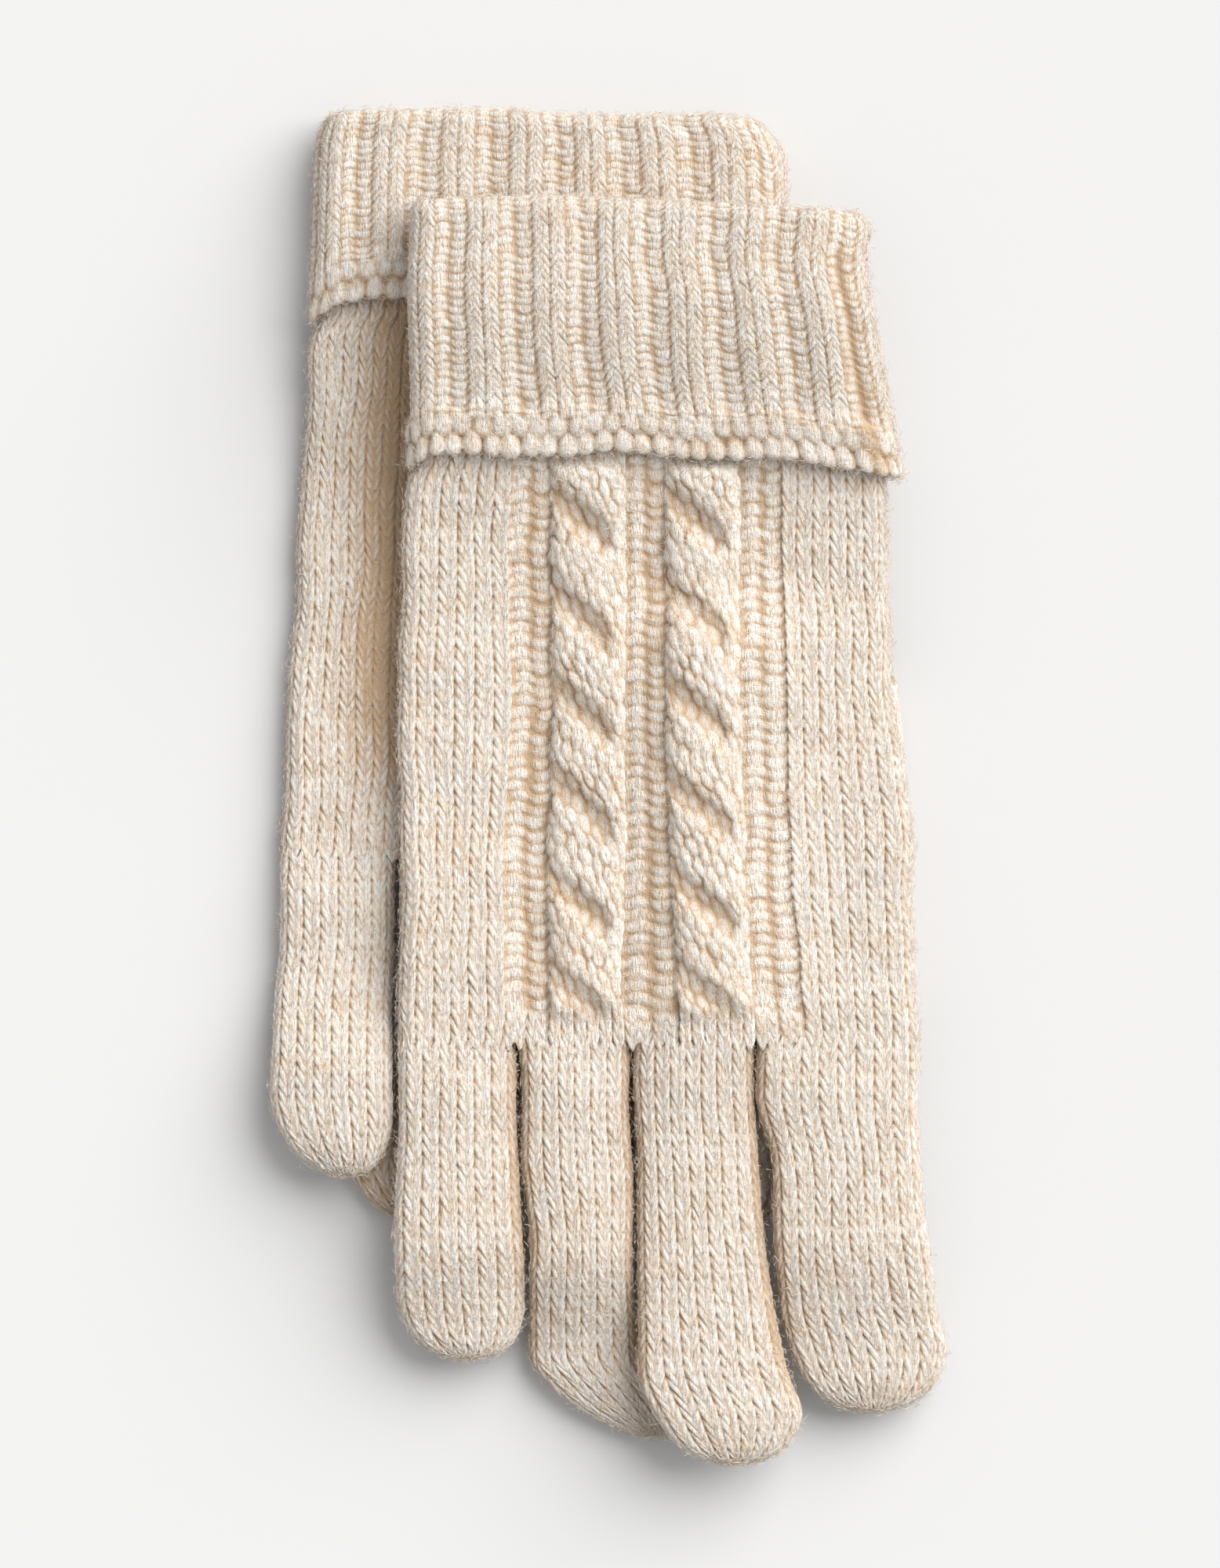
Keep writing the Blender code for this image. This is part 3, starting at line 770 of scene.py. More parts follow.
@dataclass(frozen=True)
class MarledWool:
    """Cream wool spun from fibres of several colours, softly haired.

    Attributes:
        cream: colour of the yarn's crests.
        peach: warmer stretches of the yarn.
        grey: cooler stretches of the yarn.
        tan: painted shade, the warm colour that light going deep between the stitches comes back as; also
            the colour of darker fibres.
        pale: the palest fibres in the twist.
        fluff: the fine hair that lies over the stitches.
        blotch_scale: how small the blotches are.
        strand_scale: how thin the strands of hair are.
    """

    cream: Colour = (1.0, 0.915, 0.81)
    peach: Colour = (0.96, 0.79, 0.62)
    grey: Colour = (0.87, 0.82, 0.775)
    tan: Colour = (0.64, 0.43, 0.25)
    pale: Colour = (1.0, 0.96, 0.90)
    fluff: Colour = (1.0, 0.985, 0.95)
    blotch_scale: float = 520.0
    strand_scale: float = 2900.0

    def material(self, name: str) -> bpy.types.Material:
        """The wool's shader: stretches of colour along the yarn, flecks, twist and hair, and painted
        shade in tan.

        Args:
            name: the material's name.

        Returns:
            The material.
        """
        wool = Shading(name, Roughness=0.95, Specular_IOR_Level=0.15, Sheen_Weight=0.35,
                       Sheen_Roughness=0.5, Sheen_Tint=(1.0, 0.95, 0.88, 1.0))
        yarn = wool.add("UVMap", {}, uv_map="yarn").outputs["UV"]
        solid = wool.add("TexCoord", {}).outputs["Object"]
        warm = wool.noise(wool.moved(yarn, (0.14, 0.42, 1.0)), 1.0, 3.0, 0.6)
        cool = wool.noise(wool.moved(yarn, (0.12, 0.36, 1.0), 31.0, 17.0), 1.0, 3.0, 0.6)
        colour = wool.mix(wool.ramp(warm, 0.46, 0.68), self.cream, self.peach)
        colour = wool.mix(wool.ramp(cool, 0.50, 0.72), colour, self.grey)
        patches = wool.moved(solid, (1.0, 0.72, 1.0))
        for place, tint, low, high, most in BLOTCHES:
            spot = wool.noise(wool.moved(patches, (1.0, 1.0, 1.0), place), self.blotch_scale, 2.5, 0.6)
            colour = wool.mix(wool.ramp(spot, low, high, most), colour, tint)

        split = wool.add("SeparateXYZ", {0: yarn}).outputs
        twist = wool.maths("ADD", wool.times(split["Y"], 13.0), wool.times(split["X"], 5.0))
        laid = wool.add("CombineXYZ", {"X": wool.times(split["X"], 2.4), "Y": twist}).outputs[0]
        fibre = wool.noise(laid, 1.0, 3.0, 0.65)
        colour = wool.mix(wool.ramp(fibre, 0.54, 0.72, 0.48), colour, self.tan)
        colour = wool.mix(wool.ramp(fibre, 0.46, 0.30, 0.55), colour, self.pale)

        fuzz = []
        for turn, place in ((0.7, 0.0), (-0.5, 5.0), (1.9, 9.0)):
            laid_over = wool.moved(solid, (1.0, 0.16, 1.0), place, turn=turn)
            fuzz.append(wool.noise(laid_over, self.strand_scale, 1.0, 0.5))
        strands = wool.maths("MAXIMUM", wool.maths("MAXIMUM", fuzz[0], fuzz[1]), fuzz[2])
        colour = wool.mix(wool.ramp(strands, 0.58, 0.70, 0.72), colour, self.fluff)
        dark_strands = wool.maths("MINIMUM", fuzz[0], fuzz[2])
        colour = wool.mix(wool.ramp(dark_strands, 0.42, 0.28, 0.72), colour, self.tan)
        # Painted shade: tan where a place lies deep between the stitches or in painted shadow.
        painted_shade = wool.add("Attribute", {}, attribute_name="painted_shade").outputs["Fac"]
        colour = wool.mix(wool.ramp(painted_shade, 0.12, 1.05, 0.92), colour, self.tan)
        wool.links.new(colour, wool.shader.inputs["Base Color"])

        hair = wool.noise(wool.moved(solid, (1.0, 0.6, 1.0)), 2400.0, 3.0, 0.7)
        tuft = wool.noise(wool.moved(solid, (1.0, 0.8, 1.0)), 900.0, 2.0, 0.6)
        rise = wool.maths("SUBTRACT", wool.times(hair, 0.9), fibre)
        for source, factor in ((tuft, 1.4), (strands, 2.0)):
            rise = wool.maths("ADD", rise, wool.times(source, factor))
        bump = wool.add("Bump", {"Strength": 0.8, "Distance": 0.0006, "Height": rise})
        wool.links.new(bump.outputs["Normal"], wool.shader.inputs["Normal"])
        return wool.material


@dataclass(frozen=True)
class LooseHair:
    """The pale hairs that stand off the yarn, from cream to tan from place to place."""

    cream: Colour = (0.90, 0.82, 0.72)
    tan: Colour = (0.74, 0.60, 0.47)

    def material(self, name: str) -> bpy.types.Material:
        """The hairs' shader.

        Args:
            name: the material's name.

        Returns:
            The material.
        """
        hair = Shading(name, Roughness=0.7, Specular_IOR_Level=0.2)
        share = hair.noise(hair.add("TexCoord", {}).outputs["Object"], 420.0, 2.0, 0.5)
        hair.links.new(hair.mix(share, self.cream, self.tan), hair.shader.inputs["Base Color"])
        return hair.material


# ---------------------------------------------------------------- meshes


def build_mesh(name: str, points: Array, loops: Array, totals: Array, material: bpy.types.Material,
               uv: Array | None = None, painted_shade: Array | None = None) -> bpy.types.Object:
    """Puts arrays into a mesh object.

    Args:
        name: the object's name.
        points: the vertices, in millimetres on the tables' axes.
        loops: the corners' vertex numbers, face after face.
        totals: how many corners each face has.
        material: its finish.
        uv: coordinates along and across the yarn, one for each corner.
        painted_shade: how much painted shade each vertex gets, 0 to 1, from how deep it lies between the
            stitches and from painted shadows.

    Returns:
        The object.
    """
    mesh = bpy.data.meshes.new(name)
    mesh.vertices.add(len(points))
    mesh.vertices.foreach_set("co", ((points - MIDDLE) * MM).astype(np.float32).ravel())
    mesh.loops.add(len(loops))
    mesh.loops.foreach_set("vertex_index", loops.astype(np.int32))
    mesh.polygons.add(len(totals))
    starts = np.concatenate([[0], np.cumsum(totals)[:-1]])
    mesh.polygons.foreach_set("loop_start", starts.astype(np.int32))
    mesh.polygons.foreach_set("loop_total", totals.astype(np.int32))
    if uv is not None:
        mesh.uv_layers.new(name="yarn").data.foreach_set("uv", uv.astype(np.float32).ravel())
    if painted_shade is not None:
        layer = mesh.attributes.new("painted_shade", "FLOAT", "POINT")
        layer.data.foreach_set("value", painted_shade.astype(np.float32))
    mesh.update(calc_edges=True)
    mesh.validate()
    mesh.shade_smooth()
    mesh.materials.append(material)
    thing = bpy.data.objects.new(name, mesh)
    bpy.context.scene.collection.objects.link(thing)
    return thing


def normals_of(surface: Surface, w: Array, r: Array) -> Array:
    """Outward unit normals of a smooth surface: the cross product of its two small steps.

    Args:
        surface: the function of w and r.
        w: wale coordinates.
        r: course coordinates.

    Returns:
        The normals.
    """
    step = 0.02
    across = surface(w + step, r) - surface(w - step, r)
    along = surface(w, r + step) - surface(w, r - step)
    return unit(np.cross(along, across), 1e-12)


def unit(vectors: Array, least: float = 1e-9) -> Array:
    """Vectors of length 1 in the same directions."""
    return vectors / np.maximum(np.linalg.norm(vectors, axis=-1, keepdims=True), least)


def quads(ids: Array) -> Array:
    """Faces between closed rings of vertex numbers, ring after ring."""
    after = np.roll(ids, -1, axis=1)
    return np.stack([ids[:-1], ids[1:], after[1:], after[:-1]], axis=-1).reshape(-1, 4)


def fan(ring: Array, pole: int, flip: bool) -> Array:
    """Triangles between a ring and a pole, turned round if flip is set."""
    faces = np.stack([ring, np.roll(ring, -1), np.full(len(ring), pole)], axis=1)
    return faces[:, (0, 2, 1)] if flip else faces


def strip(outer: Array, inner: Array, picks: Array, flip: bool) -> Array:
    """Triangles between a fine ring and a coarse ring inside it.

    Each piece of the fine ring goes to its nearest coarse point, and one triangle fills in where the
    nearest point changes.

    Args:
        outer: vertex numbers of the fine ring.
        inner: vertex numbers of the coarse ring.
        picks: which fine points the coarse ones lie opposite.
        flip: turns the triangles round.

    Returns:
        Rows of three vertex numbers.
    """
    count, few = len(outer), len(inner)
    middles = (picks + np.append(picks[1:], count) + 1) // 2
    owner = np.searchsorted(middles, np.arange(count), side="right") % few
    fans = np.stack([outer, np.roll(outer, -1), inner[owner]], axis=1)
    fills = np.stack([outer[middles % count], np.roll(inner, -1), inner], axis=1)
    faces = np.concatenate([fans, fills])
    return faces[:, ::-1] if flip else faces


def spread(w: Array, around: float, marks: Sequence[tuple[float, Array]]) -> tuple[Array, Array]:
    """Places round a section of wales that lie evenly between marks.

    Args:
        w: wale coordinates.
        around: how many wales go round.
        marks: wales and their places round the section, from the left side on to one turn later.

    Returns:
        Places round the section, 0 to 2, and the wale coordinates on the marks' turn.
    """
    first = marks[0][0]
    w = np.mod(w - first, around) + first
    a = np.zeros(np.broadcast(w, marks[0][1]).shape)
    for (one, start), (two, end) in zip(marks, marks[1:]):
        share = (w - one) / (two - one)
        a = np.where((share >= 0.0) & (share <= 1.0), start + (end - start) * share, a)
    return np.clip(a, 0.0, TWICE_ROUND), w


def tape(edges: Sequence[Edges], half: float, turned: float | None = None) -> float:
    """Width all round a flattened tube, in metres, by its mean outline.

    Args:
        edges: its outline.
        half: half its thickness.
        turned: half the thickness that the cloth goes round at the sides, where it is another.

    Returns:
        The width.
    """
    flat = float(np.mean([row.right - row.left for row in edges])) - 2.0 * half
    return 2.0 * (flat + np.pi * (half if turned is None else turned)) * MM


@dataclass
class Tube(ABC):
    """A knitted tube.

    Attributes:
        name: the piece's name, which is that of the node it stands for.
        wool: its finish.
        knitting: how its stitches rise.
        wales: the runs of wales round it.
        places: where the rows of each course are.
        proud: how far crests stand over the smooth surface.
        below: share of the depth that stitches keep on the underside.
        beyond: courses by which the feet of the last stitches reach past the end.
        coarser: how many of the outer wall's columns go to one of the inner wall's.
        bed: what it lies on.
        waver: the slow waves of its outline.
        sway: how far they move it, about.
        rests_on: the nodes that it touches; not used.
        held: how the sheet is held; not used.
    """

    name: str
    wool: bpy.types.Material
    knitting: Knitting
    wales: Sequence[Wales]
    places: Sequence[float] = COURSE_PLACES
    proud: float = 0.12
    below: float = 0.55
    beyond: float = 0.0
    coarser: int = 4
    bed: Surface = upper_bed
    waver: Waver = field(default_factory=lambda: Waver(21))
    sway: float = 0.22
    rests_on: tuple[str, ...] = ()
    held: str = "laid"

    @abstractmethod
    def courses(self) -> float:
        """How many courses the outside has."""

    @abstractmethod
    def outside(self, w: Array, r: Array) -> Array:
        """Points of the smooth outer surface."""

    @abstractmethod
    def inside(self, w: Array) -> list[Array]:
        """Rings of the plain inner surface, from the last course's end back to the first's."""

    @abstractmethod
    def flat_size(self) -> tuple[float, float]:
        """Width all round and length of the cloth, in metres."""

    def tip(self) -> tuple[Array, Array] | None:
        """The outer and inner poles of a closed tip, or None for a tube open at both ends."""
        return None

    def edging(self, grid: Grid, height: Array, depth: Array) -> tuple[Array, Array]:
        """A place for a piece to put other stitches at its edge."""
        return height, depth

    def extra_relief(self, grid: Grid, height: Array, depth: Array) -> tuple[Array, Array]:
        """A place for a piece to sink or flatten its stitches, which leaves their colours alone."""
        return height, depth

    def leaning(self, r: Array) -> Array:
        """How much of their lean the stitches of a course have: less at the start."""
        return np.clip(r / 1.5, 0.0, 1.0)

    def lean(self, grid: Grid) -> Array:
        """How many courses each point of the grid is shifted along."""
        return grid.lean[None, :] * self.leaning(grid.r)[:, None]

    def shade_paint(self, w: Array, r: Array) -> Array | float:
        """How much painted shade and shadow a place of the piece gets beyond that of its stitches, for
        its colour.
        """
        return 0.0

    def around(self) -> float:
        """How many wales go round."""
        return float(self.wales[-1].last - self.wales[0].first)

    def raise_stitches(self, grid: Grid) -> tuple[Array, Array]:
        """Works out the outer surface with its stitches, and keeps it for the hairs.

        Args:
            grid: the piece's columns and rows.

        Returns:
            Each point's coordinates along and across the yarn, and its painted shade, from how deep it
            lies, for its colour.
        """
        total = grid.r[-1]
        w = grid.w[None, :] + 0.0 * grid.r[:, None]
        r = np.clip(grid.r[:, None] + self.lean(grid), 0.0, total + self.beyond)
        height, depth, along, across = self.knitting.relief(grid)
        height, depth = self.edging(grid, height, depth)
        # Painted shade: more in the pits between the stitches, plus the painted shade and shadows that
        # the piece adds.
        painted_shade = np.clip(1.0 - np.clip(height, 0.0, 1.0) ** 1.6 + self.shade_paint(w, r), 0.0, 1.6)
        height, depth = self.extra_relief(grid, height, depth)
        normal = normals_of(self.outside, w, np.clip(r, 0.03, total - 0.03))
        under = np.clip(-normal[..., 2], 0.0, 1.0)
        depth = depth * (1.0 - (1.0 - self.below) * under)
        sink = (height - 1.0) * depth + self.proud * (1.0 - under)
        outer = self.outside(w, r) + normal * sink[..., None]
        outer[..., 2] = np.maximum(outer[..., 2], 0.0)
        self.crest, self.crest_normal, self.crest_height = outer, normal, height
        return np.stack([along, across], axis=-1).reshape(-1, 2), painted_shade.ravel()

    def build(self) -> bpy.types.Object:
        """Makes the piece: outer surface with its stitches, inner wall, and what joins them.

        Returns:
            The piece.
        """
        grid = self.knitting.grid(self.wales, self.courses(), self.places)
        yarn, painted_shade = self.raise_stitches(grid)
        rows_out, count = self.crest.shape[:2]
        picks = np.arange(0, count, self.coarser)
        rings = self.inside(grid.w[picks])
        points = [self.crest.reshape(-1, 3), *rings]
        start, few = rows_out * count, len(picks)
        outer = np.arange(start).reshape(rows_out, count)
        inner = start + np.arange(len(rings) * few).reshape(len(rings), few)
        poles = self.tip()
        if poles is None:
            ends = [strip(outer[-1], inner[0], picks, True)]
        else:
            pole = start + inner.size
            points.append(np.array(poles))
            ends = [fan(outer[-1], pole, True), fan(inner[0], pole + 1, False)]
        ends.append(strip(outer[0], inner[-1], picks, False))
        walls, triangles = np.concatenate([quads(outer), quads(inner)]), np.concatenate(ends)
        vertices, loops = np.concatenate(points), np.concatenate([walls.ravel(), triangles.ravel()])
        # The inner wall gets a middling painted shade.
        coords, deep = np.zeros((len(vertices), 2)), np.full(len(vertices), 0.5)
        coords[:start], deep[:start] = yarn, painted_shade
        coords[start:start + inner.size, 0] = np.tile(grid.w[picks], len(rings))
        coords[start:start + inner.size, 1] = np.repeat(np.arange(len(rings)) * 2.0, few)
        uv = coords[loops]
        outer_uv = uv[:4 * (rows_out - 1) * count].reshape(rows_out - 1, count, 4, 2)
        outer_uv[:, -1, 2:, 0] += self.around()
        totals = np.repeat((4, 3), (len(walls), len(triangles)))
        piece = build_mesh(self.name + "_knit", vertices, loops, totals, self.wool, uv, deep)
        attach(piece, "root")
        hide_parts(self.name)
        self.flat_size()
        log.info("%s: %d triangles", self.name, 2 * len(walls) + len(triangles))
        return piece


# ---------------------------------------------------------------- pieces


@dataclass
class Hand(Tube):
    """A hand: one tube from the cuff to the roots of the fingers.

    Attributes:
        edges: its outline.
        top: where it starts, inside the cuff.
        seam: where the fingers start.
        cabled: whether its back has the two cables.
        pitch: height of a course, about.
        left_mark: wale number at the left side.
        right_mark: wale number at the right side.
        shaded: strength of the painted shadow on a plain hand beside the glove that lies on it, for its
            colour.
        swell: how far the slow waves move its stitches up and along, about.
    """

    edges: Sequence[Edges] = UPPER_HAND
    top: float = 66.2
    seam: float = UPPER_SEAM
    cabled: bool = False
    pitch: float = 2.22
    left_mark: float = 0.5
    right_mark: float = 32.0
    shaded: float = 0.0
    swell: float = 0.25
    sway: float = 0.30
    beyond: float = 1.3

    def __post_init__(self) -> None:
        """Fits a whole number of courses between the cuff and the fingers."""
        self.pitch = (self.top - self.seam) / round((self.top - self.seam) / self.pitch)

    def courses(self) -> float:
        """How many courses the outside has."""
        return float(round((self.top - self.seam) / self.pitch))

    def section(self, w: Array, y: Array, half: float, inset: float) -> tuple[Array, Array, Array]:
        """A place on the hand's section, whose wales lie between marks.

        The marks are the two sides and, on a cabled back, the edges of its strips.

        Args:
            w: wale coordinates.
            y: places along.
            half: half the thickness.
            inset: how far inside the outline.

        Returns:
            Across, height, and the wale coordinates on the marks' turn.
        """
        left = column(self.edges, "y", "left", y) + inset
        right = column(self.edges, "y", "right", y) - inset
        bend = 0.5 * np.pi * half
        length = right - left - 2.0 * half + 2.0 * bend
        marks: list[tuple[float, Array]] = [(self.left_mark, 0.0 * y)]
        if self.cabled:
            at = Cables(*(column(BACK_CABLES, "y", key, y) for key in Cables._fields))
            first, second = self.knitting.cable_firsts
            for mark, x in (
                (STRIPS_FROM, at.first - at.half_width - at.purl_left),
                (first, at.first - at.half_width),
                (first + CABLE_WALES, at.first + at.half_width),
                (second, at.second - at.half_width),
                (second + CABLE_WALES, at.second + at.half_width),
                (STRIPS_TO, at.second + at.half_width + at.purl_right),
            ):
                marks.append((mark, (bend + x - left - half) / length))
        marks += [(self.right_mark, 1.0 + 0.0 * y), (self.left_mark + self.around(), 2.0 + 0.0 * y)]
        a, w = spread(w, self.around(), marks)
        return *flattened(a, left, right, half), w

    def strips(self, w: Array) -> Array:
        """1 on the cables and the purl strips and 0 on the plain knitting beside them."""
        return ease((w - STRIPS_FROM + 0.1) / 0.35) * ease((STRIPS_TO + 0.1 - w) / 0.35)

    def strands(self, w: Array, y: Array, first: int) -> tuple[Array, Array]:
        """Where a place lies on a cable, and how deep the groove between two strands is there.

        A strand comes up steeply from under the one before it and falls off slowly: a sharpened
        cosine, which fades where the strand that has crossed runs on along the right edge.

        Args:
            w: wale coordinates.
            y: places along.
            first: the cable's first wale.

        Returns:
            Places across the cable, -1 to 1, and the groove's share of the cable's rise.
        """
        xi = 2.0 * (w - first) / CABLE_WALES - 1.0
        turn = (y - CABLE_FIRST) / CABLE_PITCH + CABLE_LEAN * 0.5 * (xi + 1.0)
        phase = turn - np.floor(turn)
        wave = 0.5 + 0.5 * np.cos(2.0 * np.pi * (phase - 0.07 * np.sin(2.0 * np.pi * phase)))
        return xi, wave**GROOVE_SHARP * (1.0 - 0.90 * ease((xi - 0.30) / 0.5))

    def back(self, w: Array, y: Array) -> Array:
        """Height of the cables and strips of a cabled back over the plain knitting.

        A cable is a round hump across, 1 less the 2.6th power of the distance from its middle, under
        a root, and the groove between two strands takes a share of it.

        Args:
            w: wale coordinates.
            y: places along.

        Returns:
            Heights.
        """
        shown = ease((CABLE_TOP + CABLE_FADE - y) / CABLE_FADE) * ease((y - CABLE_END) / CABLE_SINK)
        height = -PURL_DEPTH * self.strips(w)
        for first in self.knitting.cable_firsts:
            xi, groove = self.strands(w, y, first)
            hump = np.sqrt(np.clip(1.0 - np.abs(xi) ** 2.6, 0.0, 1.0))
            rise = (CABLE_RISE + PURL_DEPTH) * hump * (1.0 - GROOVE_DEEP * groove)
            height = height + np.where(np.abs(xi) < 1.0, rise, 0.0)
        return height * shown

    def shade_paint(self, w: Array, r: Array) -> Array:
        """Painted shade in the grooves of the cables and on the purl strips beside them, which lie deep,
        and painted shadow along each cable's left flank, away from the light.

        Args:
            w: wale coordinates.
            r: course coordinates.

        Returns:
            How much painted shade and shadow each place gets.
        """
        if not self.cabled:
            # Painted shadow of the upper glove on the plain lower hand, beside the upper glove's edge.
            return self.shaded * ease((w - 2.5) / 5.5) * ease((self.courses() - r) / 16.0)
        y = self.top - r * self.pitch
        shown = ease((CABLE_TOP - y) / CABLE_FADE) * ease((y - CABLE_END) / CABLE_FADE)
        deep = STRIP_PAINTED_SHADE * self.strips(w)
        for first in self.knitting.cable_firsts:
            xi, groove = self.strands(w, y, first)
            deep = deep + np.where(np.abs(xi) < 1.0, GROOVE_PAINTED_SHADE * groove, 0.0)
            # Painted shadow down each cable's left flank, on the side away from the light.
            deep = deep + FLANK_PAINTED_SHADOW * np.exp(-(((xi + 1.15) / 0.25) ** 2))
        return deep * shown

    def last_courses(self, grid: Grid) -> tuple[Array, Array]:
        """Where the cables and the purl strips turn into plain knitting, just before the fingers.

        Args:
            grid: the piece's columns and rows.

        Returns:
            Each column's place in its plain stitch, two of which take the place of one wide purl
            stitch, and how plain each point of the grid is.
        """
        u = np.where(grid.kind == Stitch.PURL.value, np.mod(2.0 * grid.u, 1.0), grid.u)
        ragged = 0.55 * np.sin(1.9 * grid.w) + 0.35 * np.sin(0.8 * grid.w + 1.0)
        late = ease((grid.r[:, None] - grid.r[-1] + 3.0 + ragged[None, :]) / 1.4)
        return u, np.where(grid.kind[None, :] == Stitch.KNIT.value, 0.0, late)

    def lean(self, grid: Grid) -> Array:
        """How many courses each point is shifted along: as in plain knitting at a cabled back's end.

        Args:
            grid: the piece's columns and rows.

        Returns:
            The shifts.
        """
        lean = super().lean(grid)
        if not self.cabled:
            return lean
        u, late = self.last_courses(grid)
        return lean + (self.knitting.knit_lean * toward_foot(u)[None, :] - lean) * late

    def edging(self, grid: Grid, height: Array, depth: Array) -> tuple[Array, Array]:
        """Knits the last courses of a cabled back plain.

        Args:
            grid: the piece's columns and rows.
            height: the stitches' heights.
            depth: the depths that they scale with.

        Returns:
            The changed heights and depths.
        """
        if not self.cabled:
            return height, depth
        u, late = self.last_courses(grid)
        middle = np.mod(grid.r[:, None] + 1e-6, 1.0) - 0.5
        middle[-1] = 0.5
        chance = np.random.default_rng(self.knitting.seed + 9).normal(0.0, 0.7, (4, 1, len(grid.w)))
        plain = self.knitting.legs(u[None, :], middle, chance)
        return height + (plain - height) * late, depth + (self.knitting.knit_depth - depth) * late

    def outside(self, w: Array, r: Array) -> Array:
        """Points of the smooth outer surface.

        Args:
            w: wale coordinates.
            r: course coordinates.

        Returns:
            The points.
        """
        y = self.top - r * self.pitch
        x, height, turned = self.section(w, y, HAND_HALF, 0.0)
        if self.cabled:
            height = height + self.back(turned, y) * ease(height / HAND_HALF)
        calm = ease((self.top - 10.0 - y) / 8.0) * ease((y - self.seam) / 6.0)
        x = x + self.sway * self.waver(x, y, 0) * calm
        rise = self.swell * self.waver(x, y, 1) * calm * ease(height / HAND_HALF)
        z = self.bed(x, y) + HAND_HALF + height + rise
        return np.stack([x, y + self.swell * self.waver(x, y, 2) * calm, z], axis=-1)

    def inside(self, w: Array) -> list[Array]:
        """Rings of the plain inner surface, from the seam back to the cuff.

        Args:
            w: wale coordinates.

        Returns:
            The rings.
        """
        rings = []
        for along in np.linspace(self.seam, self.top, 15 if self.cabled else 9):
            y = along + 0.0 * w
            x, height, _ = self.section(w, y, HAND_HALF - WALL, WALL)
            rings.append(np.stack([x, y, self.bed(x, y) + HAND_HALF + height], axis=-1))
        return rings

    def flat_size(self) -> tuple[float, float]:
        """Width all round and length of the cloth, in metres."""
        return tape(self.edges, HAND_HALF), (self.top - self.seam) * MM


